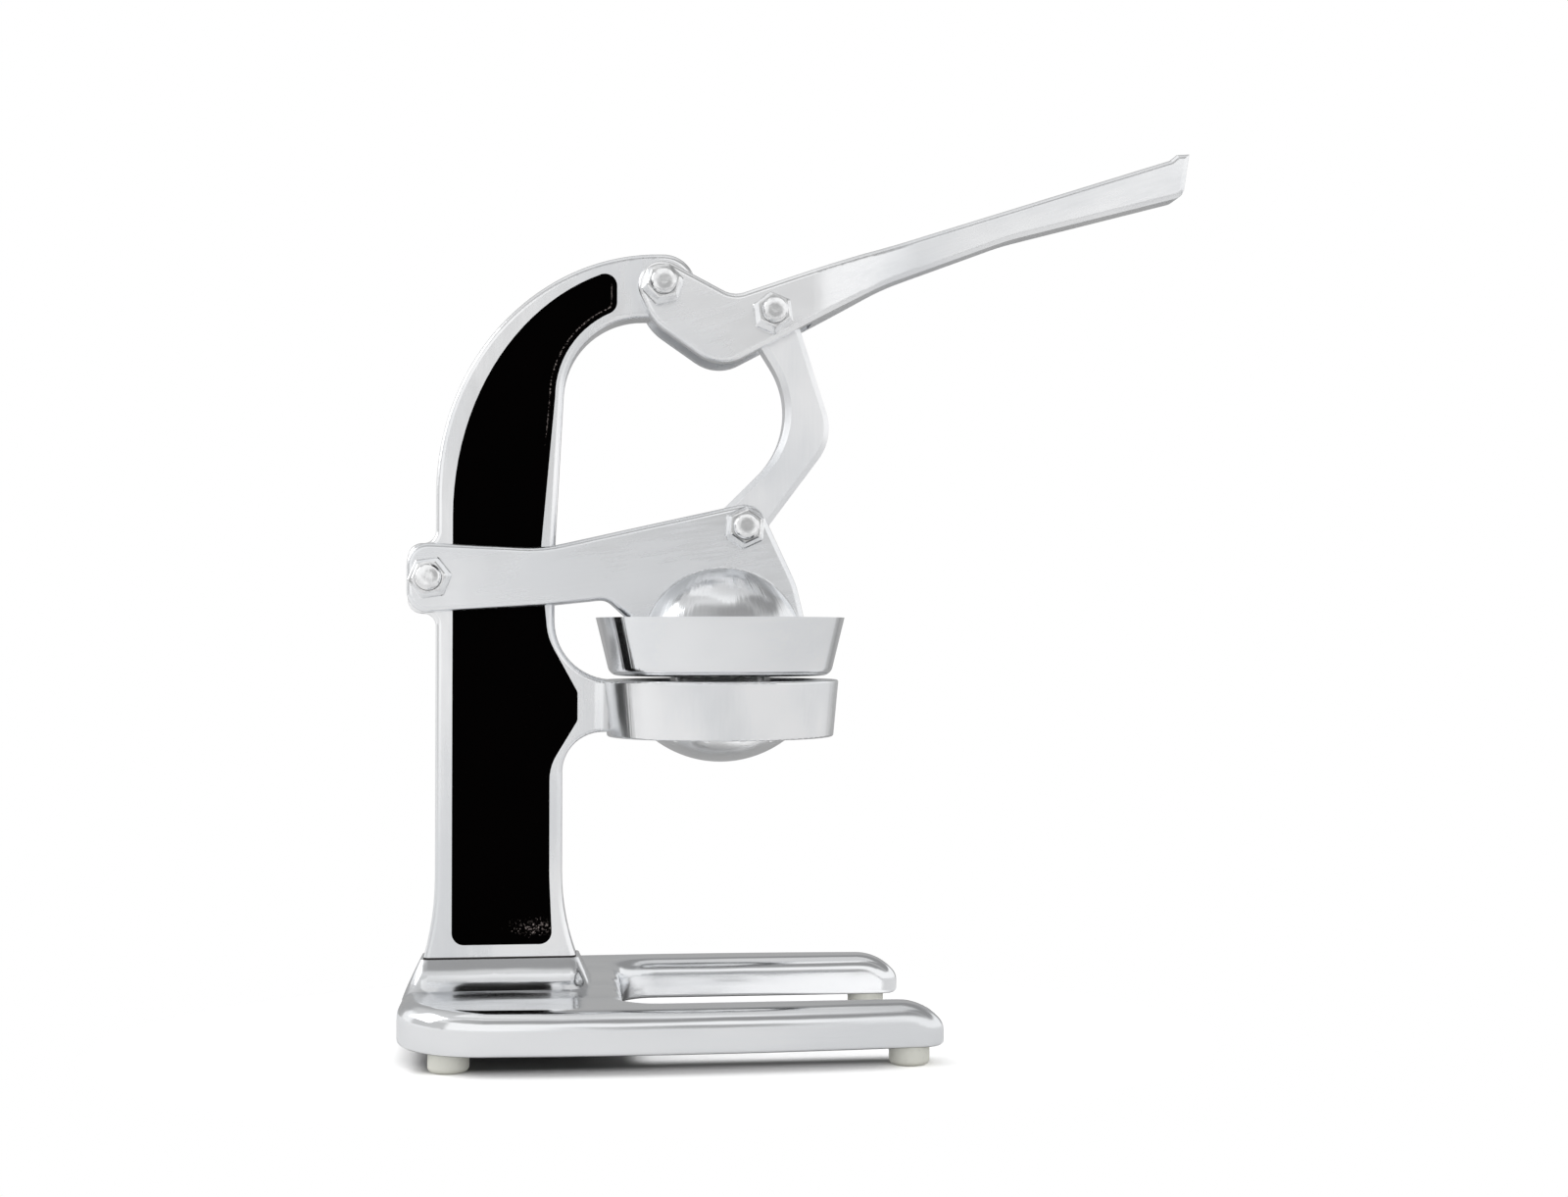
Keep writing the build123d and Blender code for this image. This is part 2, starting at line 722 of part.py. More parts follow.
# Lever: a fork astride the column head and the link that runs out into a flat bar
lever_tip = (lever_reach, lever_tip_top)
with BuildPart() as lever:
    with BuildSketch(Plane.XZ) as lever_outline:
        with BuildLine():
            Polyline(
                over(lever_pivot),
                over(touch(lever_valley, lever_pivot, lever_end_radius, 1)),
                over(lever_valley),
                over(lever_crest),
                over(lever_lip_start),
                over(lever_lip_back),
                over(lever_tip),
                over(lever_tip_low),
                over(lever_under_far),
                over(lever_under_mid),
                over(lever_belly),
                over(lever_chin),
                over(touch(lever_chin, lever_pivot, lever_end_radius, -1)),
                close=True,
            )
        make_face()
        lever_rounds = (
            (lever_valley, lever_valley_round),
            (lever_crest, lever_long_round),
            (lever_tip_low, lever_tip_round),
            (lever_under_far, lever_long_round),
            (lever_under_mid, lever_long_round),
            (lever_belly, lever_belly_round),
            (lever_chin, lever_chin_round),
        )
        for corner, radius in lever_rounds:
            fillet(nearest(lever_outline.vertices(), over(corner)), radius)
        with Locations(over(lever_pivot)):
            Circle(lever_end_radius)
    extrude(amount=fork_half, both=True)
    with BuildSketch(Plane.XY) as lever_plan:
        with BuildLine():
            for side in (1, -1):
                Line(plan(-rear_reach, side * fork_half), plan(bar_taper_start, side * fork_half))
                Spline(
                    plan(bar_taper_start, side * fork_half),
                    plan(bar_taper_end, side * bar_width / 2),
                    tangents=[(1, 0), (1, 0)],
                )
                Line(plan(bar_taper_end, side * bar_width / 2), plan(lever_reach + 1, side * bar_width / 2))
            Line(plan(-rear_reach, fork_half), plan(-rear_reach, -fork_half))
            Line(plan(lever_reach + 1, bar_width / 2), plan(lever_reach + 1, -bar_width / 2))
        make_face()
    extrude(amount=tall, mode=Mode.INTERSECT)
    outline_faces = [face for face in lever.faces() if abs(face.normal_at().Y) < 0.01]
    outline_edges = ShapeList([edge for face in outline_faces for edge in face.edges()])
    long_edges = [edge for edge in outline_edges if abs(edge.tangent_at(0.5).Y) < 0.9]
    fillet(long_edges, lever_edge_round)
    with BuildSketch(Plane.XY) as slot_plan:
        slot_end = link_top[0] + slot_past_link
        with Locations(plan((slot_end - rear_reach) / 2, 0)):
            RectangleRounded(slot_end + rear_reach, 2 * slot_half, slot_corner)
    extrude(amount=tall, mode=Mode.SUBTRACT)
    with BuildSketch(Plane.XZ) as lever_holes:
        with Locations(over(lever_pivot), over(link_top)):
            Circle(bolt_radius + running_gap)
    extrude(amount=fork_half + side_gap, both=True, mode=Mode.SUBTRACT)
save(lever.part, "lever_handle")

# Pivot bolts, headed on the far side, and the tapered nuts on the near side
pivots = {"lever": lever_pivot, "link_top": link_top, "link_foot": link_foot, "arm": arm_pivot}
bolt_reach = fork_half + nut_height + bolt_stand_out
for name, place in pivots.items():
    with BuildPart() as bolt:
        with BuildSketch(side_plane(-fork_half)):
            with Locations(over(place)):
                Circle(bolt_radius)
        extrude(amount=fork_half + bolt_reach)
        chamfer(bolt.faces().sort_by(Axis.Y)[0].edges(), bolt_end_bevel)
        with BuildSketch(side_plane(-fork_half)):
            with Locations(over(place)):
                RegularPolygon(wrench_flats / 2, 6, major_radius=False)
        extrude(amount=-bolt_head_height)
    save(bolt.part, f"bolt_{name}")
    with BuildPart() as nut:
        with BuildSketch(side_plane(fork_half)):
            with Locations(over(place)):
                RegularPolygon(wrench_flats / 2, 6, major_radius=False)
        extrude(amount=nut_collar)
        with BuildSketch(side_plane(fork_half + nut_collar)):
            with Locations(over(place)):
                RegularPolygon(wrench_flats / 2, 6, major_radius=False)
        with BuildSketch(side_plane(fork_half + nut_height)):
            with Locations(over(place)):
                RegularPolygon(nut_top_flats / 2, 6, major_radius=False)
        loft()
        with BuildSketch(side_plane(fork_half)):
            with Locations(over(place)):
                Circle(bolt_radius + running_gap)
        extrude(amount=nut_height, mode=Mode.SUBTRACT)
    save(nut.part, f"nut_{name}")

# Two bolts that hold the column on the plinth from below
with BuildPart() as stem_bolts:
    head_seat = base_bottom + stem_pocket_depth
    with BuildSketch(Plane.XY.offset(head_seat)):
        with Locations(*[plan(x, 0) for x in stem_bolt_spots]):
            Circle(stem_bolt_radius)
    extrude(amount=plinth_top + stem_bolt_depth - head_seat)
    with BuildSketch(Plane.XY.offset(head_seat)):
        with Locations(*[plan(x, 0) for x in stem_bolt_spots]):
            RegularPolygon(stem_head_flats / 2, 6, major_radius=False)
    extrude(amount=-stem_head_height)
save(stem_bolts.part, "column_bolts")

# Rubber feet, each with a pocket for its screw
for name, place in zip(("rear_near", "rear_far", "front_near", "front_far"), foot_spots):
    with BuildPart() as foot:
        with BuildSketch(Plane.XY):
            with Locations(place):
                Circle(rubber_radius)
        extrude(amount=base_bottom)
        fillet(foot.faces().sort_by(Axis.Z)[0].edges(), rubber_edge_round)
        with BuildSketch(Plane.XY):
            with Locations(place):
                Circle(screw_pocket_radius)
        extrude(amount=screw_pocket_depth, mode=Mode.SUBTRACT)
        with BuildSketch(Plane.XY):
            with Locations(place):
                Circle(screw_radius + running_gap)
        extrude(amount=base_bottom, mode=Mode.SUBTRACT)
    save(foot.part, f"foot_{name}")

# Screws of the four feet
with BuildPart() as screws:
    with BuildSketch(Plane.XY.offset(screw_pocket_depth)):
        with Locations(*foot_spots):
            Circle(screw_head_radius)
    extrude(amount=-screw_head_height)
    with BuildSketch(Plane.XY.offset(screw_pocket_depth)):
        with Locations(*foot_spots):
            Circle(screw_radius)
    extrude(amount=base_bottom + screw_bite - screw_pocket_depth - running_gap)
save(screws.part, "foot_screws")
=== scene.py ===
"""Looks of a lever-press citrus juicer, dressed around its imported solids, in metres."""

import logging
import math
from dataclasses import dataclass
from enum import Enum
from typing import Any, Union

import bpy
import numpy as np
from mathutils import Matrix, Vector


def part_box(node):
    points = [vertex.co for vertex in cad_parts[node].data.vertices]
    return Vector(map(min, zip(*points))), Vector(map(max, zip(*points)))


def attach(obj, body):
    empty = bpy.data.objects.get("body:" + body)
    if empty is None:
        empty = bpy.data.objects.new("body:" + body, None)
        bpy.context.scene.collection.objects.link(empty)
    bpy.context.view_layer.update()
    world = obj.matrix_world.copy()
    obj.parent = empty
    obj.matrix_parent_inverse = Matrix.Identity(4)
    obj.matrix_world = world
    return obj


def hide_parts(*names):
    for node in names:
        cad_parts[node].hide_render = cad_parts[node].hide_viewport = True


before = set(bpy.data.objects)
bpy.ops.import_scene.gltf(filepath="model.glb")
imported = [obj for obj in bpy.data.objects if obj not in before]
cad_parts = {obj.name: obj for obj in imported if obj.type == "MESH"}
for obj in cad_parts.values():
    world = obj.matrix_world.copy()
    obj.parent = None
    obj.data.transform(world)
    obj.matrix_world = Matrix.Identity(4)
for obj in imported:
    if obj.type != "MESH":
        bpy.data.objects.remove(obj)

LOG = logging.getLogger("juicer")
CUP_AXIS_X = -0.03175
WHITE = (1.0, 1.0, 1.0, 1.0)
BRIGHT_METAL = (0.965, 0.97, 0.98)
TINY = 1e-6
Colour = tuple[float, float, float]
Pair = tuple[float, float]
Box = tuple[float, float, float, float]
Number = Union[float, "Wire"]


class Wire:
    """A shader socket whose operators add Math nodes."""

    def __init__(self, graph: "Graph", socket: bpy.types.NodeSocket) -> None:
        """Keep the graph and the output socket."""
        self.graph = graph
        self.socket = socket

    def __add__(self, other: Number) -> "Wire":
        """Sum of two values."""
        return self.graph.math("ADD", self, other)

    def __radd__(self, other: Number) -> "Wire":
        """Sum of two values, number first."""
        return self.graph.math("ADD", other, self)

    def __sub__(self, other: Number) -> "Wire":
        """Difference of two values."""
        return self.graph.math("SUBTRACT", self, other)

    def __rsub__(self, other: Number) -> "Wire":
        """Difference of two values, number first."""
        return self.graph.math("SUBTRACT", other, self)

    def __mul__(self, other: Number) -> "Wire":
        """Product of two values."""
        return self.graph.math("MULTIPLY", self, other)

    def __rmul__(self, other: Number) -> "Wire":
        """Product of two values, number first."""
        return self.graph.math("MULTIPLY", other, self)

    def __truediv__(self, other: Number) -> "Wire":
        """Quotient of two values."""
        return self.graph.math("DIVIDE", self, other)

    def __neg__(self) -> "Wire":
        """The value with its sign turned."""
        return self.graph.math("MULTIPLY", self, -1.0)

    def __abs__(self) -> "Wire":
        """The value without its sign."""
        return self.graph.math("ABSOLUTE", self)


class Graph:
    """A material's or world's node tree with short ways to add nodes."""

    def __init__(self, tree: bpy.types.NodeTree) -> None:
        """Empty the tree.

        Args:
            tree: the node tree to fill.
        """
        self.tree = tree
        self.tree.nodes.clear()

    def node(self, kind: str, settings: dict[str, Any] | None = None,
             inputs: dict[Any, Any] | None = None) -> bpy.types.Node:
        """Add any node.

        Args:
            kind: the node's type name.
            settings: properties of the node.
            inputs: values or wires, by socket name or number.

        Returns:
            The new node.
        """
        made = self.tree.nodes.new(kind)
        for name, value in (settings or {}).items():
            setattr(made, name, value)
        for name, value in (inputs or {}).items():
            socket = made.inputs[name]
            if isinstance(value, Wire):
                self.tree.links.new(value.socket, socket)
            else:
                socket.default_value = value
        return made

    def wire(self, made: bpy.types.Node, output: Any = 0) -> Wire:
        """Wrap one output of a node."""
        return Wire(self, made.outputs[output])

    def math(self, operation: str, *values: Number) -> Wire:
        """Add a Math node.

        Args:
            operation: the node's operation.
            values: numbers or wires for its inputs.

        Returns:
            The result.
        """
        made = self.node("ShaderNodeMath", {"operation": operation}, dict(enumerate(values)))
        return self.wire(made)

    def length(self, *values: Wire, least: float = 0.0) -> Wire:
        """Root of a sum of squares.

        Args:
            values: the wires to square.
            least: small number in the sum that keeps the root above 0.

        Returns:
            The root.
        """
        total = values[0] * values[0]
        for value in values[1:]:
            total = total + value * value
        return self.math("SQRT", total + least)

    def step(self, value: Number, low: float, high: float) -> Wire:
        """Rise smoothly from 0 at low to 1 at high.

        Args:
            value: what is tested.
            low: where the rise starts.
            high: where it ends.

        Returns:
            The share from 0 to 1.
        """
        made = self.node("ShaderNodeMapRange", {"interpolation_type": "SMOOTHSTEP"},
                         {0: value, 1: low, 2: high, 3: 0.0, 4: 1.0})
        return self.wire(made)

    def fall(self, value: Number, low: float, high: float) -> Wire:
        """Fall smoothly from 1 at low to 0 at high.

        Args:
            value: what is tested.
            low: where the fall starts.
            high: where it ends.

        Returns:
            The share from 0 to 1.
        """
        return 1.0 - self.step(value, low, high)

    def blend(self, share: Number, first: Any, second: Any) -> Wire:
        """Mix two colours.

        Args:
            share: 0 gives the first, 1 the second.
            first: colour or wire.
            second: colour or wire.

        Returns:
            The mixed colour.
        """
        ends = [value if isinstance(value, Wire) else (*value, 1.0) for value in (first, second)]
        made = self.node("ShaderNodeMix", {"data_type": "RGBA"}, {0: share, 6: ends[0], 7: ends[1]})
        return self.wire(made, 2)

    def place(self, stretch: Colour = (1.0, 1.0, 1.0), centre: Colour = (0.0, 0.0, 0.0),
              turn_y: float = 0.0) -> Wire:
        """Object coordinates, moved, turned about Y and stretched.

        Args:
            stretch: factor on each axis after the turn.
            centre: point that becomes the origin.
            turn_y: turn about Y in radians.

        Returns:
            The coordinate wire.
        """
        spot = self.wire(self.node("ShaderNodeTexCoord"), "Object")
        moved = self.node("ShaderNodeVectorMath", {"operation": "SUBTRACT"}, {0: spot, 1: centre})
        turned = self.node("ShaderNodeMapping", {"vector_type": "POINT"},
                           {0: self.wire(moved), "Rotation": (0.0, turn_y, 0.0)})
        sized = self.node("ShaderNodeVectorMath", {"operation": "MULTIPLY"},
                          {0: self.wire(turned), 1: stretch})
        return self.wire(sized)

    def parts(self, vector: Wire) -> tuple[Wire, Wire, Wire]:
        """Split a vector into its three values."""
        made = self.node("ShaderNodeSeparateXYZ", None, {0: vector})
        return self.wire(made, 0), self.wire(made, 1), self.wire(made, 2)

    def join(self, x: Number, y: Number, z: Number) -> Wire:
        """Join three values into a vector."""
        return self.wire(self.node("ShaderNodeCombineXYZ", None, {0: x, 1: y, 2: z}))

    def noise(self, vector: Wire, scale: float, detail: float = 3.0, rough: float = 0.5) -> Wire:
        """Fractal noise value.

        Args:
            vector: coordinates.
            scale: waves per unit.
            detail: octaves.
            rough: weight of the higher octaves.

        Returns:
            The noise from 0 to 1.
        """
        made = self.node("ShaderNodeTexNoise", None,
                         {"Vector": vector, "Scale": scale, "Detail": detail, "Roughness": rough})
        return self.wire(made, "Fac")

    def bump(self, height: Wire) -> Wire:
        """Bend the normal by a height.

        Args:
            height: the height in metres.

        Returns:
            The bent normal.
        """
        made = self.node("ShaderNodeBump", None, {"Height": height, "Distance": 1.0, "Strength": 1.0})
        return self.wire(made)

    def surface(self, kind: str, inputs: dict[Any, Any]) -> Wire:
        """Add a shader node and return its closure."""
        return self.wire(self.node(kind, None, inputs))

    def end(self, kind: str, closure: Wire) -> None:
        """Link a closure to the tree's output node."""
        self.node(kind, None, {"Surface": closure})


def new_material(name: str) -> tuple[bpy.types.Material, Graph]:
    """Make an empty node material.

    Args:
        name: the material's name.

    Returns:
        The material and its graph.
    """
    made = bpy.data.materials.new(name)
    made.use_nodes = True
    return made, Graph(made.node_tree)


class Grain(Enum):
    """The axis that the polishing marks of a casting run along."""

    LENGTHWISE = 0
    UPRIGHT = 2

    def waves(self, fine: float, share: float) -> Colour:
        """Waves per metre on each axis.

        Args:
            fine: waves across the marks.
            share: share of those waves that is left along the marks.

        Returns:
            The three numbers.
        """
        ways = [fine, fine, fine]
        ways[self.value] *= share
        return ways[0], ways[1], ways[2]


@dataclass(frozen=True, kw_only=True)
class BuffedZone:
    """A part of a casting around the cup axis that was buffed, with streaks that run up and down."""

    rough: float = 0.07
    rough_swing: float = 0.07
    streaks: float = 26.0
    streak_rise: float = 9.0
    streak_waves: float = 0.28
    streak_detail: float = 5.0
    streak_rough: float = 0.62
    streak_height: float = 0.00022
    least: float = 1e-8

    def mask(self, graph: Graph, place: Wire) -> Wire:
        """Share of the zone.

        Args:
            graph: the material's graph.
            place: object coordinates from the cup axis.

        Returns:
            1 inside, 0 outside.
        """
        raise NotImplementedError

    def streak(self, graph: Graph, place: Wire) -> Wire:
        """Noise that changes with the angle about the cup axis and hardly with the height.

        Args:
            graph: the material's graph.
            place: object coordinates from the cup axis.

        Returns:
            The noise from 0 to 1.
        """
        x, y, z = graph.parts(place)
        radius = graph.length(x, y, least=self.least)
        turn = graph.join(x / radius * self.streaks, y / radius * self.streaks, z * self.streak_rise)
        return graph.noise(turn, self.streak_waves, self.streak_detail, self.streak_rough)


@dataclass(frozen=True, kw_only=True)
class TurnedZone(BuffedZone):
    """A wall that was turned on a lathe: the zone lies between two radii and two heights."""

    inside: float
    outside: float
    low: float
    high: float
    edge: float = 0.0004
    outer_edge: float = 0.0006

    def mask(self, graph: Graph, place: Wire) -> Wire:
        """Share of the zone: 1 between the radii and the heights."""
        x, y, height = graph.parts(place)
        radius = graph.length(x, y, least=self.least)
        ring = graph.step(radius, self.inside - self.edge, self.inside)
        ring = ring * graph.fall(radius, self.outside, self.outside + self.outer_edge)
        level = graph.step(height, self.low - self.edge, self.low)
        return ring * level * graph.fall(height, self.high, self.high + self.edge)


@dataclass(frozen=True, kw_only=True)
class BallZone(BuffedZone):
    """A dome: the zone keeps to points that lie on a ball."""

    ball_height: float
    ball_radius: float
    slack: float = 0.0003

    def mask(self, graph: Graph, place: Wire) -> Wire:
        """Share of the zone: 1 where the distance from the ball's centre is the ball's radius."""
        x, y, z = graph.parts(place)
        reach = graph.length(x, y, z - self.ball_height)
        return graph.fall(abs(reach - self.ball_radius), self.slack, 2 * self.slack)


@dataclass(frozen=True)
class PolishedCasting:
    """Hand-polished aluminium: bright metal with soft waves, brushing and buffed zones."""

    name: str
    grain: Grain
    turn: float = 0.0
    light: Colour = (0.925, 0.935, 0.95)
    dark: Colour = (0.83, 0.845, 0.865)
    dark_edge: Pair = (0.36, 0.70)
    dark_brush: float = 0.15
    rough: float = 0.20
    rough_swing: float = 0.14
    rough_edge: Pair = (0.38, 0.72)
    rough_brush: float = 0.25
    wave_size: float = 0.030
    wave_share: float = 0.6
    wave_height: float = 0.00040
    wave_detail: float = 2.5
    wave_rough: float = 0.4
    brush_width: float = 0.0011
    brush_share: float = 0.07
    brush_height: float = 0.000007
    zones: tuple[BuffedZone, ...] = ()
    dark_below: float = 0.0
    dark_below_edge: float = 0.0002
    dark_below_rough: float = 0.62
    # Colour below the height; on the base this dark grey is painted shade under the base.
    dark_below_colour: Colour = (0.27, 0.27, 0.275)

    def build(self) -> bpy.types.Material:
        """Return the node material; below a height it takes a darker colour: on the column a dark seam, on
        the base an unpolished underside painted dark as shade.
        """
        made, graph = new_material(self.name)
        swells = self.grain.waves(1.0 / self.wave_size, self.wave_share)
        patches = graph.noise(graph.place(swells, turn_y=self.turn), 1.0, self.wave_detail, self.wave_rough)
        strokes = self.grain.waves(1.0 / self.brush_width, self.brush_share)
        brushed = graph.noise(graph.place(strokes, turn_y=self.turn), 1.0)
        shade = patches * (1.0 - self.dark_brush) + brushed * self.dark_brush
        colour = graph.blend(graph.step(shade, *self.dark_edge), self.light, self.dark)
        dullness = patches * (1.0 - self.rough_brush) + brushed * self.rough_brush
        rough = self.rough + self.rough_swing * graph.step(dullness, *self.rough_edge)
        height = patches * self.wave_height + brushed * self.brush_height
        cup_place = graph.place(centre=(CUP_AXIS_X, 0.0, 0.0))
        for zone in self.zones:
            mask, streak = zone.mask(graph, cup_place), zone.streak(graph, cup_place)
            buffed = zone.rough + zone.rough_swing * streak
            rough = rough * (1.0 - mask) + buffed * mask
            height = height * (1.0 - mask) + streak * zone.streak_height * mask
        # Below a height the colour darkens: on the column a dark seam, on the base an unpolished underside
        # painted dark as shade.
        if self.dark_below > 0.0:
            level = graph.parts(graph.place())[2]
            below = graph.fall(level, self.dark_below - self.dark_below_edge, self.dark_below)
            colour = graph.blend(below, colour, self.dark_below_colour)
            rough = rough * (1.0 - below) + self.dark_below_rough * below
        shader = graph.surface("ShaderNodeBsdfPrincipled", {
            "Base Color": colour, "Metallic": 1.0, "Roughness": rough, "Normal": graph.bump(height)})
        graph.end("ShaderNodeOutputMaterial", shader)
        return made


@dataclass(frozen=True)
class BlackEnamel:
    """Deep black paint with a faint red depth and an orange-peel skin, with light specks that are partly
    bare wear and partly a painted glint.
    """

    name: str
    corner: Pair
    deep: Colour = (0.0003, 0.0002, 0.0002)
    lit: Colour = (0.0010, 0.0005, 0.0005)
    cloud_waves: float = 60.0
    peel_waves: float = 900.0
    peel_detail: float = 2.0
    peel_height: float = 0.00004
    # Light colour of bare metal, also used for the painted glint.
    bare_and_glint: Colour = (0.44, 0.38, 0.36)
    speck_waves: float = 1400.0
    speck_rough: float = 0.75
    corner_size: Pair = (0.019, 0.0085)
    corner_pull: float = 0.22
    corner_edge: Pair = (0.755, 0.845)
    corner_fade: float = 0.25
    glint_edge: Pair = (0.46, 0.58)
    glint_share: float = 0.7
    rough: float = 0.34
    rough_swing: float = 0.14
    bare_and_glint_rough: float = 0.1
    gloss: float = 0.01

    def build(self) -> bpy.types.Material:
        """Return the node material.

        The specks lie about the low front corner and, as a painted glint, where the piece's attribute for
        the glint asks for them.

        Returns:
            The material.
        """
        made, graph = new_material(self.name)
        plain = graph.place()
        cloud = graph.noise(plain, self.cloud_waves)
        peel = graph.noise(plain, self.peel_waves, self.peel_detail)
        bare_and_glint = self._bare_and_glint(graph, graph.noise(plain, self.speck_waves, rough=self.speck_rough))
        shader = graph.surface("ShaderNodeBsdfPrincipled", {
            "Base Color": graph.blend(bare_and_glint, graph.blend(cloud, self.deep, self.lit), self.bare_and_glint),
            "Roughness": self.rough + self.rough_swing * cloud + self.bare_and_glint_rough * bare_and_glint,
            "Specular IOR Level": self.gloss,
            "Normal": graph.bump(peel * self.peel_height)})
        graph.end("ShaderNodeOutputMaterial", shader)
        return made

    def _bare_and_glint(self, graph: Graph, speck: Wire) -> Wire:
        """Share of bare metal and painted glint, in specks.

        Args:
            graph: the material's graph.
            speck: fine noise.

        Returns:
            The share from 0 to 1.
        """
        x, _, z = graph.parts(graph.place(centre=(self.corner[0], 0.0, self.corner[1])))
        reach = graph.length(x / self.corner_size[0], z / self.corner_size[1])
        near = graph.fall(reach, 0.0, 1.0)
        corner = graph.step(speck + self.corner_pull * near, *self.corner_edge)
        corner = corner * graph.step(near, 0.0, self.corner_fade)
        # Painted glint: the piece's attribute puts light specks where a highlight runs along the cove's
        # foot.
        painted_glint = graph.wire(graph.node("ShaderNodeAttribute", {"attribute_name": "painted_glint"}), "Fac")
        glint_specks = self.glint_share * graph.step(speck * painted_glint, *self.glint_edge)
        return graph.math("MAXIMUM", corner, glint_specks)


@dataclass(frozen=True)
class PlatedSteel:
    """Bright plated nuts and bolts with fine tool marks and a little stain."""

    name: str = "plated_steel_bright"
    light: Colour = (0.95, 0.955, 0.96)
    dark: Colour = (0.74, 0.74, 0.75)
    stain_waves: float = 240.0
    stain_detail: float = 4.0
    stain_rough: float = 0.6
    stain_edge: Pair = (0.42, 0.75)
    mark_waves: Colour = (900.0, 140.0, 900.0)
    mark_height: float = 0.00003
    rough: float = 0.08
    rough_swing: float = 0.16

    def build(self) -> bpy.types.Material:
        """Return the node material."""
        made, graph = new_material(self.name)
        stain = graph.noise(graph.place(), self.stain_waves, self.stain_detail, self.stain_rough)
        marks = graph.noise(graph.place(self.mark_waves), 1.0)
        shader = graph.surface("ShaderNodeBsdfPrincipled", {
            "Base Color": graph.blend(graph.step(stain, *self.stain_edge), self.light, self.dark),
            "Metallic": 1.0,
            "Roughness": self.rough + self.rough_swing * stain,
            "Normal": graph.bump(marks * self.mark_height)})
        graph.end("ShaderNodeOutputMaterial", shader)
        return made


@dataclass(frozen=True)
class PaleRubber:
    """Cream rubber, matt, a little dusty towards the table."""

    name: str = "cream_rubber"
    clean: Colour = (0.93, 0.93, 0.85)
    dusty: Colour = (0.70, 0.69, 0.61)
    dust_height: float = 0.0022
    dust_share: float = 0.6
    speck_waves: float = 700.0
    speck_edge: Pair = (0.55, 0.8)
    speck_share: float = 0.25
    speck_height: float = 0.00005
    rough: float = 0.55
    rough_swing: float = 0.2

    def build(self) -> bpy.types.Material:
        """Return the node material."""
        made, graph = new_material(self.name)
        plain = graph.place()
        level = graph.parts(plain)[2]
        speck = graph.noise(plain, self.speck_waves)
        soil = graph.fall(level, 0.0, self.dust_height) * self.dust_share
        soil = soil + graph.step(speck, *self.speck_edge) * self.speck_share
        shader = graph.surface("ShaderNodeBsdfPrincipled", {
            "Base Color": graph.blend(soil, self.clean, self.dusty),
            "Roughness": self.rough + self.rough_swing * speck,
            "Normal": graph.bump(speck * self.speck_height)})
        graph.end("ShaderNodeOutputMaterial", shader)
        return made


class Weave(Enum):
    """How the rows of a grid surface are closed."""

    LOOP = "first row joins last"
    POLES = "a point closes each end"


def grid_piece(name: str, rows: np.ndarray, weave: Weave, sharp: float) -> bpy.types.Object:
    """Make a mesh from a grid of points whose columns go round.

    Each quad joins (row, column), (row, column + 1), (row + 1, column + 1) and (row + 1, column).
    With poles, the mean of the first and of the last row is the tip of a fan of triangles.

    Args:
        name: the piece's name.
        rows: points as an array of rows, columns and 3.
        weave: how the rows are closed.
        sharp: angle in degrees from which an edge stays sharp.

    Returns:
        The new object, linked into the scene.
    """
    count, around = rows.shape[:2]
    number = np.arange(count * around).reshape(count, around)
    if weave is Weave.LOOP:
        upper = np.roll(number, -1, axis=0)
        lower = number
    else:
        lower, upper = number[:-1], number[1:]
    quads = np.stack([lower, np.roll(lower, -1, 1), np.roll(upper, -1, 1), upper], -1).reshape(-1, 4)
    points = rows.reshape(-1, 3)
    faces = quads.tolist()
    if weave is Weave.POLES:
        points = np.vstack([points, rows[0].mean(0), rows[-1].mean(0)])
        first, last = number[0], number[-1]
        start = np.full(around, count * around)
        faces += np.stack([np.roll(first, -1), first, start], -1).tolist()
        faces += np.stack([last, np.roll(last, -1), start + 1], -1).tolist()
    mesh = bpy.data.meshes.new(name)
    mesh.from_pydata(points.tolist(), [], faces)
    mesh.polygons.foreach_set("use_smooth", np.ones(len(mesh.polygons), dtype=bool))
    mesh.set_sharp_from_angle(angle=math.radians(sharp))
    mesh.update()
    made = bpy.data.objects.new(name, mesh)
    bpy.context.scene.collection.objects.link(made)
    return made


def dress(node: str, material: bpy.types.Material) -> None:
    """Give a solid its finish.

    Args:
        node: the solid's name.
        material: the finish.
    """
    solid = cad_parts[node]
    solid.data.materials.clear()
    solid.data.materials.append(material)
    LOG.info("dressed %s with %s", node, material.name)


@dataclass
class BaseCasting:
    """Forked base with its swept plinth, polished along its length and left unpolished below, where its
    dark colour is painted shade.
    """

    # Below this height the base is unpolished and painted darker as shade under the base.
    dark_below: float = 0.0072

    def build(self) -> None:
        """Dress the base."""
        dress("base_casting", PolishedCasting(
            "polished_base", Grain.LENGTHWISE, rough=0.10, rough_swing=0.12, wave_size=0.022,
            wave_share=0.25, wave_height=0.0013, brush_width=0.0016, brush_share=0.03,
            brush_height=0.00002, dark_below=self.dark_below).build())


@dataclass
class RubberFeet:
    """Four cream feet and their screws."""

    nodes: tuple[str, ...] = ("foot_rear_near", "foot_rear_far", "foot_front_near", "foot_front_far")

    def build(self, steel: bpy.types.Material) -> None:
        """Dress the feet and the screws.

        Args:
            steel: finish of the screws.
        """
        rubber = PaleRubber().build()
        for node in self.nodes:
            dress(node, rubber)
        dress("foot_screws", steel)


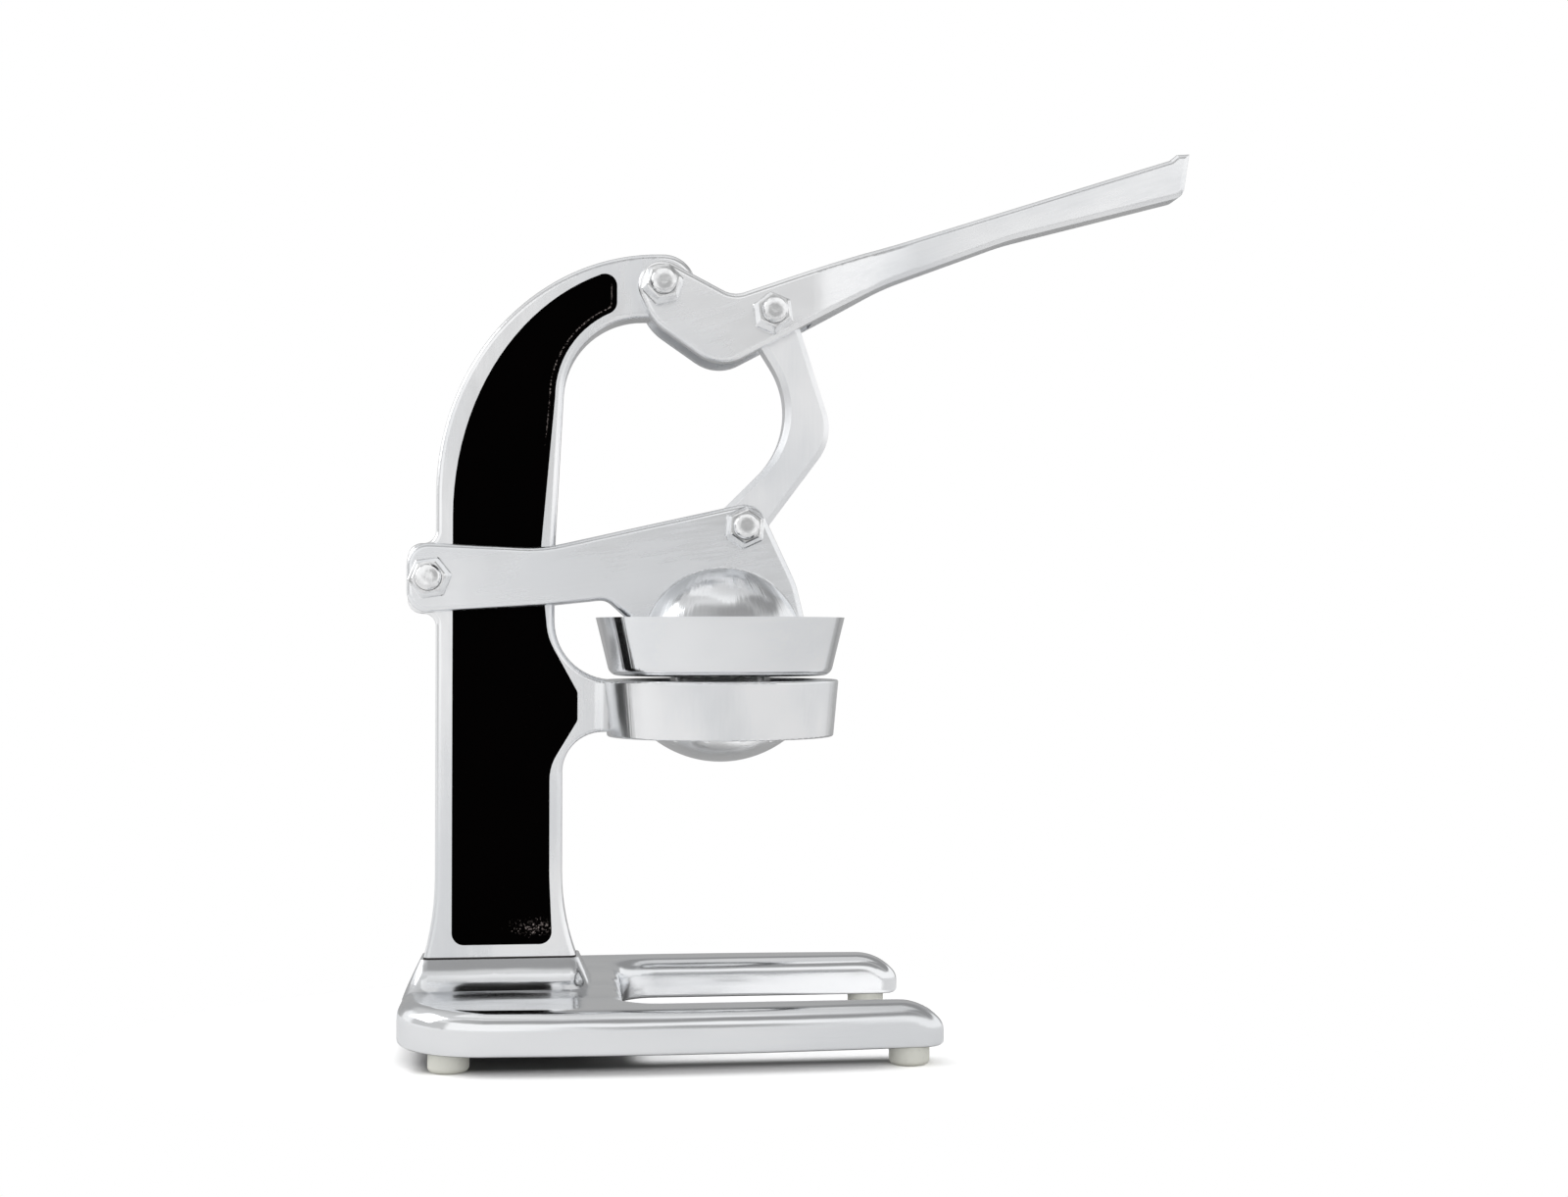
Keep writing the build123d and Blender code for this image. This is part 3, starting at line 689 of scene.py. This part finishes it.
@dataclass
class ColumnCasting:
    """Crooked column with its ring, its sunk black panels and the paint that climbs their walls."""

    ring_inside: float = 0.0419
    ring_outside: float = 0.0450
    ring_low: float = 0.1130
    ring_top: float = 0.1345
    panel_rear: float = -0.0996
    panel_front: float = -0.0639
    panel_foot_front: float = -0.0628
    panel_flare: float = 0.0620
    panel_low: float = 0.0369
    arch_centre: Pair = (-0.0225, 0.1950)
    arch_size: Pair = (0.0771, 0.0948)
    arch_points: int = 60
    head_end: float = -0.0392
    crook_centre: Pair = (-0.0275, 0.2396)
    crook_radius: float = 0.0346
    crook_points: int = 40
    waist: Pair = (-0.0675, 0.1800)
    throat: Pair = (-0.0646, 0.14995)
    neck_end: float = -0.0536
    neck_heights: Pair = (0.12995, 0.11935)
    knee: float = 0.10235
    head_round: float = 0.0045
    tail_rounds: tuple[float, ...] = (0.060, 0.022, 0.003, 0.003, 0.018, 0.060, 0.0045, 0.0045)
    round_points: int = 14
    path_step: float = 0.0005
    rim_face: float = 0.0075
    rim_drop: float = 0.00008
    floor_face: float = 0.0060
    cove_width: float = 0.0022
    cove_rows: int = 9
    cove_sharp: float = 40.0
    skirt_drop: float = 0.0004
    skirt_inset: float = 0.00002
    # Where the cove's painted glint lies: above a height, on edges whose inward side faces back and up,
    # strongest at the cove's foot.
    glint_low: float = 0.190
    glint_fade: float = 0.040
    glint_ways: Pair = (-1.1, 0.8)
    glint_power: int = 6
    seam_width: float = 0.0006
    seam_colour: Colour = (0.06, 0.055, 0.055)
    specks_in: float = 0.0060

    def build(self) -> None:
        """Dress the column and its panels and lay the paint coves."""
        ring = TurnedZone(inside=self.ring_inside, outside=self.ring_outside, low=self.ring_low,
                          high=self.ring_top, rough=0.22)
        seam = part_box("column_casting")[0][2] + self.seam_width
        dress("column_casting", PolishedCasting(
            "polished_column", Grain.UPRIGHT, light=BRIGHT_METAL, rough=0.22, rough_swing=0.12,
            wave_size=0.024, zones=(ring,), dark_below=seam, dark_below_colour=self.seam_colour).build())
        corner = (CUP_AXIS_X + self.panel_foot_front - self.specks_in, self.panel_low + self.specks_in)
        enamel = BlackEnamel("black_enamel_paint", corner).build()
        dress("enamel_panel_near", enamel)
        dress("enamel_panel_far", enamel)
        for name, side in (("paint_cove_near", -1.0), ("paint_cove_far", 1.0)):
            self._cove(name, side, enamel)

    def _corners(self) -> tuple[np.ndarray, np.ndarray]:
        """Corner points of the panel's outline, X from the cup axis and height, with their rounding radii.

        The arch is an ellipse and the crook a circle, both given by close points without rounding.

        Returns:
            The points and the radii.
        """
        end = math.acos((self.head_end - self.arch_centre[0]) / self.arch_size[0])
        sweep = np.linspace(math.pi, end, self.arch_points)[1:]
        arch = np.stack([self.arch_centre[0] + self.arch_size[0] * np.cos(sweep),
                         self.arch_centre[1] + self.arch_size[1] * np.sin(sweep)], -1)
        end = math.acos((self.head_end - self.crook_centre[0]) / self.crook_radius)
        sweep = np.linspace(end, math.pi, self.crook_points)
        crook = np.stack([self.crook_centre[0] + self.crook_radius * np.cos(sweep),
                          self.crook_centre[1] + self.crook_radius * np.sin(sweep)], -1)
        tail = np.array([self.waist, self.throat,
                         (self.neck_end, self.neck_heights[0]), (self.neck_end, self.neck_heights[1]),
                         (self.panel_front, self.knee), (self.panel_front, self.panel_flare),
                         (self.panel_foot_front, self.panel_low), (self.panel_rear, self.panel_low)])
        points = np.vstack([arch, crook, tail])
        radii = np.zeros(len(points))
        radii[len(arch) - 1:len(arch) + 1] = self.head_round
        radii[-len(tail):] = self.tail_rounds
        return points, radii

    def _path(self) -> np.ndarray:
        """Closed outline of the panel at even steps.

        At a corner with radius r and an opening angle a, the arc starts and ends r / tan(a / 2) from
        the corner, and its centre lies r / sin(a / 2) from it on the bisector. The arcs' points, joined
        in order, are then spaced evenly by their running length.

        Returns:
            Points as X from the cup axis and height.
        """
        points, radii = self._corners()
        back = np.roll(points, 1, 0) - points
        ahead = np.roll(points, -1, 0) - points
        back /= np.linalg.norm(back, axis=1, keepdims=True)
        ahead /= np.linalg.norm(ahead, axis=1, keepdims=True)
        opening = np.arccos(np.clip((back * ahead).sum(1), -1.0, 1.0))
        cut = radii / np.maximum(np.tan(opening / 2), TINY)
        middle = back + ahead
        middle /= np.maximum(np.linalg.norm(middle, axis=1, keepdims=True), TINY)
        centre = points + middle * (radii / np.maximum(np.sin(opening / 2), TINY))[:, None]
        start = points + back * cut[:, None] - centre
        turn = np.sign(back[:, 0] * ahead[:, 1] - back[:, 1] * ahead[:, 0])
        share = np.linspace(0.0, 1.0, self.round_points)
        angle = share[None, :] * ((opening - math.pi) * turn)[:, None]
        bent_x = centre[:, :1] + start[:, :1] * np.cos(angle) - start[:, 1:] * np.sin(angle)
        bent_z = centre[:, 1:] + start[:, :1] * np.sin(angle) + start[:, 1:] * np.cos(angle)
        line = np.stack([bent_x, bent_z], -1).reshape(-1, 2)
        line = line[np.linalg.norm(line - np.roll(line, 1, 0), axis=1) > TINY]
        ring = np.vstack([line, line[:1]])
        run = np.concatenate([[0.0], np.cumsum(np.linalg.norm(np.diff(ring, axis=0), axis=1))])
        even = np.linspace(0.0, run[-1], int(run[-1] / self.path_step), endpoint=False)
        return np.stack([np.interp(even, run, ring[:, 0]), np.interp(even, run, ring[:, 1])], -1)

    def _cove(self, name: str, side: float, material: bpy.types.Material) -> None:
        """Lay the cove of paint between a panel's floor and its rim.

        A quarter of an ellipse is carried along the outline: at share s of the quarter it lies
        width * (1 - cos s) inside the outline and sinks by depth * sin s from the rim. A flat skirt
        closes it below. The attribute for the painted glint, light specks that stand in for a
        highlight, is highest at the cove's foot, along the crook.

        Args:
            name: the piece's name.
            side: -1 for the near face, 1 for the far face.
            material: the paint.
        """
        path = self._path()
        ahead = np.roll(path, -1, 0) - np.roll(path, 1, 0)
        ahead /= np.linalg.norm(ahead, axis=1, keepdims=True)
        inward = np.stack([ahead[:, 1], -ahead[:, 0]], -1)
        share = np.linspace(0.0, math.pi / 2, self.cove_rows)
        inset = self.cove_width * (1.0 - np.cos(share))
        top, low = self.rim_face - self.rim_drop, self.floor_face
        height = top - (top - low) * np.sin(share)
        inset = np.concatenate([inset, [self.cove_width, self.skirt_inset]])
        height = np.concatenate([height, [low - self.skirt_drop, low - self.skirt_drop]])
        spots = path[None] + inward[None] * inset[:, None, None]
        depth = np.broadcast_to(side * height[:, None], spots.shape[:2])
        rows = np.stack([CUP_AXIS_X + spots[..., 0], depth, spots[..., 1]], -1)
        # Painted glint: light specks that stand in for a highlight where the cove meets the panel's floor.
        along = np.clip(inward @ np.array(self.glint_ways), 0.0, 1.0)
        along = along * np.clip((path[:, 1] - self.glint_low) / self.glint_fade, 0.0, 1.0)
        across = np.concatenate([np.sin(share) ** self.glint_power, [0.0, 0.0]])
        painted_glint = (across[:, None] * along[None]).astype(np.float32)
        if side > 0:
            rows = rows[::-1]
            painted_glint = painted_glint[::-1]
        made = grid_piece(name, rows, Weave.LOOP, self.cove_sharp)
        layer = made.data.attributes.new("painted_glint", "FLOAT", "POINT")
        layer.data.foreach_set("value", np.ascontiguousarray(painted_glint).ravel())
        made.data.materials.append(material)
        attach(made, "frame")
        LOG.info("laid %s", name)


@dataclass
class Strainer:
    """Bowl with its fluted reamer."""

    light: Colour = (0.95, 0.955, 0.96)
    dark: Colour = (0.86, 0.865, 0.87)

    def build(self) -> None:
        """Dress the strainer."""
        dress("strainer", PolishedCasting(
            "satin_strainer", Grain.LENGTHWISE, light=self.light, dark=self.dark, rough=0.15,
            wave_height=0.00030).build())


@dataclass
class PressArm:
    """Two brushed plates with the buffed press cup and its dome."""

    cup_inside: float = 0.0372
    cup_outside: float = 0.0475
    cup_low: float = 0.1358
    cup_top: float = 0.1578
    dome_radius: float = 0.0330
    dome_height: float = 0.1458
    brush_turn: float = math.radians(8.0)

    def build(self) -> None:
        """Dress the press arm."""
        cup = TurnedZone(inside=self.cup_inside, outside=self.cup_outside, low=self.cup_low,
                         high=self.cup_top)
        dome = BallZone(ball_height=self.dome_height, ball_radius=self.dome_radius, rough=0.12,
                        rough_swing=0.10, streaks=7.0, streak_height=0.0006)
        dress("press_arm", PolishedCasting(
            "polished_arm", Grain.LENGTHWISE, turn=self.brush_turn, wave_height=0.00060,
            zones=(cup, dome)).build())


@dataclass
class Linkage:
    """Lever and curved link."""

    lever_turn: float = math.radians(18.0)

    def build(self) -> None:
        """Dress the lever and the link."""
        dress("lever_handle", PolishedCasting(
            "polished_lever", Grain.LENGTHWISE, turn=self.lever_turn, light=BRIGHT_METAL, rough=0.25,
            rough_swing=0.12, wave_height=0.00060).build())
        dress("link", PolishedCasting(
            "polished_link", Grain.UPRIGHT, light=BRIGHT_METAL, rough=0.36, wave_size=0.022,
            wave_height=0.00100).build())


@dataclass
class PivotHardware:
    """Bolts with hexagon heads and cut threads, and tapered nuts, at the four pivots."""

    flats: float = 0.01430
    top_flats: float = 0.01080
    corner_cut: float = 1.13
    collar: float = 0.0012
    nut_height: float = 0.0082
    foot_bevel: float = 0.0005
    bevel: float = 0.0003
    edge: float = 0.0004
    crease: float = 0.0002
    seat: float = 0.0138
    shaft: float = 0.00475
    bore: float = 0.00480
    bore_lip: float = 0.00015
    head_height: float = 0.0060
    head_turn: float = 17.0
    head_rises: tuple[float, ...] = (1.0, 1.0, 0.93, 0.80, 0.64, 0.1, 0.02, 0.0)
    head_cone: tuple[float, ...] = (0.55, 0.93, 0.97, 1.04, 1.13, 1.13, 1.10, 1.06)
    stand_out: float = 0.0036
    pitch: float = 0.00159
    thread_depth: float = 0.00038
    thread_start: float = 0.0005
    thread_end: float = 0.0007
    thread_fade: float = 0.0004
    thread_rows: int = 40
    shaft_end: float = 0.0006
    end_shares: tuple[float, ...] = (0.92, 0.86, 0.78, 0.30)
    end_rises: tuple[float, ...] = (0.0004, 0.0001, 0.0, 0.00006)
    around: int = 96
    sharp: float = 24.0

    def build(self, steel: bpy.types.Material) -> None:
        """Make a bolt and a nut for each pivot.

        Args:
            steel: the finish.
        """
        pivots = {"lever": ("lever", 14.0), "link_top": ("lever", 38.0), "link_foot": ("press", 25.0),
                  "arm": ("press", 8.0)}
        for name, (body, turn) in pivots.items():
            low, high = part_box(f"nut_{name}")
            spot = ((low[0] + high[0]) / 2, (low[2] + high[2]) / 2)
            nut_rows = self._nut(spot, math.radians(turn))
            bolt_rows = self._bolt(spot, math.radians(turn + self.head_turn))
            nut = grid_piece(f"tapered_nut_{name}", nut_rows, Weave.LOOP, self.sharp)
            bolt = grid_piece(f"pivot_bolt_{name}", bolt_rows, Weave.POLES, self.sharp)
            for made, node in ((nut, f"nut_{name}"), (bolt, f"bolt_{name}")):
                made.data.materials.append(steel)
                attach(made, body)
                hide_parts(node)
                LOG.info("made %s on %s", made.name, body)

    def _turns(self) -> np.ndarray:
        """Angles round an axis."""
        return np.linspace(0.0, 2 * math.pi, self.around, endpoint=False)

    def _hexagon(self, half_flats: np.ndarray, turn: float) -> np.ndarray:
        """Radii of hexagons by angle: half the flats over the cosine of the angle from the nearest flat.

        Args:
            half_flats: half the width over the flats, one for each row.
            turn: angle of a corner.

        Returns:
            Radii by row and angle, with the corners cut off.
        """
        sixth = math.pi / 3
        off = (self._turns() - turn) % sixth - sixth / 2
        return half_flats[:, None] * np.minimum(1.0 / np.cos(off), self.corner_cut)[None]

    def _placed(self, radii: np.ndarray, depth: np.ndarray, spot: Pair) -> np.ndarray:
        """Put rings of radii about a pivot: X = x + r cos t, Z = z + r sin t, Y = depth.

        Args:
            radii: radii by row and angle.
            depth: Y by row.
            spot: the pivot's X and Z.

        Returns:
            The grid of points.
        """
        turns = self._turns()
        level = np.broadcast_to(depth[:, None], radii.shape)
        return np.stack([spot[0] + radii * np.cos(turns), level, spot[1] + radii * np.sin(turns)], -1)

    def _nut(self, spot: Pair, turn: float) -> np.ndarray:
        """Rows of a nut: a hexagon collar, tapered hexagon sides, a narrow rim and a round bore.

        Args:
            spot: the pivot's X and Z.
            turn: angle of a corner.

        Returns:
            The closed grid of points.
        """
        wide, narrow, top = self.flats / 2, self.top_flats / 2, self.nut_height
        sides = np.array([wide - self.foot_bevel, wide, wide, wide - self.bevel,
                          narrow + self.crease, narrow - self.bevel])
        rise = np.array([0.0, self.edge, self.collar - self.crease, self.collar + self.crease,
                         top - self.edge, top, top, top - self.bevel, 0.0])
        rounds = np.array([self.bore + self.bore_lip, self.bore, self.bore])
        hexagons = np.maximum(self._hexagon(sides, turn), self.bore + self.crease)
        circles = np.broadcast_to(rounds[:, None], (len(rounds), self.around))
        return self._placed(np.vstack([hexagons, circles]), -(self.seat + rise), spot)

    def _bolt(self, spot: Pair, turn: float) -> np.ndarray:
        """Rows of a bolt from its hexagon head on the far side to its threaded end on the near side.

        The head's radius is the lesser of a hexagon and a cone, which cuts its corners. The thread's
        radius is the shaft's less a depth times a zigzag of the depth over the pitch less the angle
        over a turn.

        Args:
            spot: the pivot's X and Z.
            turn: angle of a corner.

        Returns:
            The grid of points.
        """
        half = self.flats / 2
        cone = np.array(self.head_cone) * half
        head = np.minimum(self._hexagon(np.full(len(cone), half), turn), cone[:, None])
        head_depth = self.seat + np.array(self.head_rises) * self.head_height
        nut_face = -(self.seat + self.nut_height)
        tip = nut_face - self.stand_out
        shaft_depth = np.array([self.seat, nut_face + self.shaft_end])
        shaft = np.full((len(shaft_depth), self.around), self.shaft)
        thread_top = nut_face + self.thread_start
        cut_depth = np.linspace(thread_top, tip + self.thread_end, self.thread_rows)
        phase = (cut_depth[:, None] / self.pitch - self._turns()[None] / (2 * math.pi)) % 1.0
        fade = np.clip((thread_top - cut_depth) / self.thread_fade, 0.0, 1.0)[:, None]
        thread = self.shaft - self.thread_depth * fade * np.abs(2 * phase - 1.0)
        end_depth = tip + np.array(self.end_rises)
        end = np.minimum(np.array(self.end_shares)[:, None] * self.shaft, thread[-1:])
        depth = np.concatenate([head_depth, shaft_depth, cut_depth, end_depth])
        return self._placed(np.vstack([head, shaft, thread, end]), depth, spot)


@dataclass(frozen=True)
class PhotoCamera:
    """The camera at the photograph's viewing angle."""

    azimuth: float = -6.0
    elevation: float = -1.1
    lens_px: float = 2050.0
    frame_px: float = 1600.0
    sensor: float = 36.0
    spot: Colour = (-0.08718, -0.7575, 0.1503)
    clip: Pair = (0.01, 50.0)

    def build(self) -> None:
        """Place the camera and make it the scene's."""
        data = bpy.data.cameras.new("photo_camera")
        data.sensor_width = self.sensor
        data.sensor_fit = "HORIZONTAL"
        data.lens = self.lens_px / self.frame_px * self.sensor
        data.clip_start, data.clip_end = self.clip
        camera = bpy.data.objects.new("photo_camera", data)
        turn, rise = math.radians(self.azimuth), math.radians(self.elevation)
        back = Vector((math.sin(turn) * math.cos(rise), -math.cos(turn) * math.cos(rise), math.sin(rise)))
        camera.matrix_world = Matrix.LocRotScale(self.spot, (-back).to_track_quat("-Z", "Y"), None)
        bpy.context.scene.collection.objects.link(camera)
        bpy.context.scene.camera = camera


@dataclass(frozen=True)
class Room:
    """A pale room: bright at eye level, dim overhead, on the left, behind and at a spot in front."""

    eye_level: float = 0.98
    front_way: Colour = (0.080, -0.992, 0.090)
    front_edge: Pair = (0.980, 0.9985)
    front_dim: float = 0.60
    left_edge: Pair = (0.78, 0.86)
    left_end: Pair = (0.26, 0.36)
    left_dim: float = 0.42
    back_edge: Pair = (0.70, 0.78)
    back_dim: float = 0.58
    ceiling_edge: Pair = (0.45, 0.60)
    ceiling: float = 0.30
    ceiling_left: float = 0.34
    ceiling_left_edge: Pair = (-0.1, 0.5)
    ceiling_front: float = 0.40
    ceiling_front_edge: Pair = (0.1, 0.5)
    strip_low: Pair = (0.52, 0.62)
    strip_high: Pair = (0.82, 0.90)
    strip_front: Pair = (0.25, 0.45)
    strip_dim: float = 0.55
    ground_edge: Pair = (0.10, 0.16)
    ground_dim: float = 0.6
    least: float = 0.0001

    def build(self) -> None:
        """Make the world, which the camera sees white."""
        world = bpy.data.worlds.new("studio")
        world.use_nodes = True
        bpy.context.scene.world = world
        graph = Graph(world.node_tree)
        seen = graph.wire(graph.node("ShaderNodeLightPath"), "Is Camera Ray")
        graph.end("ShaderNodeOutputWorld", graph.surface("ShaderNodeBackground", {
            "Color": WHITE, "Strength": seen + (1.0 - seen) * self._glow(graph)}))

    def _glow(self, graph: Graph) -> Wire:
        """Brightness of the room by direction.

        Args:
            graph: the world's graph.

        Returns:
            The strength.
        """
        x, y, z = graph.parts(graph.wire(graph.node("ShaderNodeTexCoord"), "Generated"))
        level = graph.length(x, y, least=self.least)
        side, behind = x / level, y / level
        ahead = self.front_way[0] * x + self.front_way[1] * y + self.front_way[2] * z
        front = graph.step(ahead, *self.front_edge)
        left = graph.step(-side, *self.left_edge) * graph.fall(behind, *self.left_end)
        back = graph.step(behind, *self.back_edge)
        walls = self.eye_level - self.front_dim * front
        walls = walls * (1.0 - self.left_dim * left) * (1.0 - self.back_dim * back)
        above = self.ceiling + self.ceiling_left * graph.step(-x, *self.ceiling_left_edge)
        above = above + self.ceiling_front * graph.step(-y, *self.ceiling_front_edge)
        strip = graph.step(z, *self.strip_low) * graph.fall(z, *self.strip_high)
        strip = strip * graph.step(-y, *self.strip_front)
        above = above * (1.0 - self.strip_dim * strip)
        high = graph.step(z, *self.ceiling_edge)
        glow = walls * (1.0 - high) + above * high
        return glow * (1.0 - self.ground_dim * graph.step(-z, *self.ground_edge))


@dataclass(frozen=True)
class Floor:
    """Pale floor, white to the camera and in metal, that keeps the shadow, adds a painted shadow under the
    base and painted light in the bay, and is clear from below.
    """

    half: float = 1.25
    plain: float = 0.80
    seen: float = 1.85
    mirrored: float = 1.12
    back_dim: float = 0.5
    back_edge: Pair = (0.62, 0.76)
    # Painted light: how much brighter the bay's floor is in metal.
    bay_glow: float = 0.5
    # Painted shadow: how much the floor darkens to the camera under the base.
    shadow_depth: float = 0.85
    base_box: Box = (-0.146, 0.042, -0.060, 0.060)
    bay_box: Box = (-0.070, 0.060, -0.050, 0.050)
    box_edge: float = 0.012
    shadow_centre: Pair = (-0.053, 0.0)
    shadow_size: Pair = (0.125, 0.085)
    shadow_fade: Pair = (1.0, 1.7)
    least: float = 0.0001

    def build(self) -> None:
        """Lay the floor."""
        size = self.half
        corners = [(-size, -size, 0), (size, -size, 0), (size, size, 0), (-size, size, 0)]
        mesh = bpy.data.meshes.new("floor")
        mesh.from_pydata(corners, [], [(0, 1, 2, 3)])
        floor = bpy.data.objects.new("floor", mesh)
        bpy.context.scene.collection.objects.link(floor)
        made, graph = new_material("pale_floor")
        path = graph.node("ShaderNodeLightPath")
        seen = graph.wire(path, "Is Camera Ray")
        tone = self._tone(graph, path, seen)
        matt = graph.surface("ShaderNodeBsdfDiffuse", {"Color": graph.join(tone, tone, tone)})
        white = graph.surface("ShaderNodeEmission", {"Color": WHITE, "Strength": 1.0})
        x, y, _ = graph.parts(graph.place(centre=(*self.shadow_centre, 0.0)))
        reach = graph.length(x / self.shadow_size[0], y / self.shadow_size[1])
        beyond = seen * graph.step(reach, *self.shadow_fade)
        top = graph.surface("ShaderNodeMixShader", {0: beyond, 1: matt, 2: white})
        below = graph.wire(graph.node("ShaderNodeNewGeometry"), "Backfacing")
        clear = graph.surface("ShaderNodeBsdfTransparent", {})
        both = graph.surface("ShaderNodeMixShader", {0: below, 1: top, 2: clear})
        graph.end("ShaderNodeOutputMaterial", both)
        mesh.materials.append(made)

    def _tone(self, graph: Graph, path: bpy.types.Node, seen: Wire) -> Wire:
        """Grey of the floor, by the kind of ray that meets it, with a painted shadow under the base and
        painted light in the bay.

        Args:
            graph: the floor's graph.
            path: its Light Path node.
            seen: 1 for the camera's rays.

        Returns:
            The grey.
        """
        indirect = graph.wire(path, "Is Glossy Ray") + graph.wire(path, "Is Transmission Ray")
        mirrored = graph.math("MINIMUM", indirect, 1.0)
        plain = graph.place()
        bay = self._box(graph, plain, self.bay_box)
        under = self._box(graph, plain, self.base_box) * (1.0 - bay)
        # Painted shadow: under the base, outside the bay, the floor is darker to the camera.
        to_camera = self.seen * (1.0 - self.shadow_depth * under)
        x, y, _ = graph.parts(graph.place(centre=(CUP_AXIS_X, 0.0, 0.0)))
        behind = graph.step(y / graph.length(x, y, least=self.least), *self.back_edge)
        # Painted light: the bay's floor is brighter in metal.
        to_metal = self.mirrored * (1.0 - self.back_dim * behind) * (1.0 + self.bay_glow * bay)
        return self.plain + seen * (to_camera - self.plain) + mirrored * (to_metal - self.plain)

    def _box(self, graph: Graph, place: Wire, box: Box) -> Wire:
        """Share of a rectangle on the floor, with soft edges.

        Args:
            graph: the floor's graph.
            place: object coordinates.
            box: lowest X, highest X, lowest Y and highest Y.

        Returns:
            1 inside, 0 outside.
        """
        x, y, _ = graph.parts(place)
        edge = self.box_edge
        share = graph.step(x, box[0], box[0] + edge) * graph.fall(x, box[1] - edge, box[1])
        return share * graph.step(y, box[2], box[2] + edge) * graph.fall(y, box[3] - edge, box[3])


@dataclass(frozen=True)
class Softbox:
    """A square lamp that the camera does not see, with its power in watts."""

    name: str
    spot: Colour
    target: Colour
    size: float
    power: float

    def build(self) -> None:
        """Hang the lamp and point it at its target."""
        data = bpy.data.lights.new(self.name, "AREA")
        data.size = self.size
        data.energy = self.power
        lamp = bpy.data.objects.new(self.name, data)
        aim = Vector(self.target) - Vector(self.spot)
        lamp.matrix_world = Matrix.LocRotScale(self.spot, aim.to_track_quat("-Z", "Y"), None)
        lamp.visible_camera = False
        bpy.context.scene.collection.objects.link(lamp)


@dataclass(frozen=True)
class Studio:
    """Pale floor, soft light and the camera of the photograph."""

    softboxes: tuple[Softbox, ...] = (
        Softbox("left_softbox", (-1.10, 0.10, 0.75), (-0.03, 0.0, 0.10), 0.75, 2.6),
        Softbox("top_softbox", (0.05, 0.10, 1.45), (-0.03, 0.0, 0.0), 1.30, 2.0))

    def build(self) -> None:
        """Make the camera, the world, the floor and the lamps."""
        bpy.context.scene.view_settings.view_transform = "Standard"
        PhotoCamera().build()
        Room().build()
        Floor().build()
        for softbox in self.softboxes:
            softbox.build()


def main() -> None:
    """Dress every piece, make the new ones and light the scene."""
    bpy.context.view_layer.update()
    Studio().build()
    steel = PlatedSteel().build()
    BaseCasting().build()
    ColumnCasting().build()
    Strainer().build()
    PressArm().build()
    Linkage().build()
    PivotHardware().build(steel)
    RubberFeet().build(steel)
    dress("column_bolts", steel)


if __name__ == "__main__":
    logging.basicConfig(level=logging.INFO)
    main()
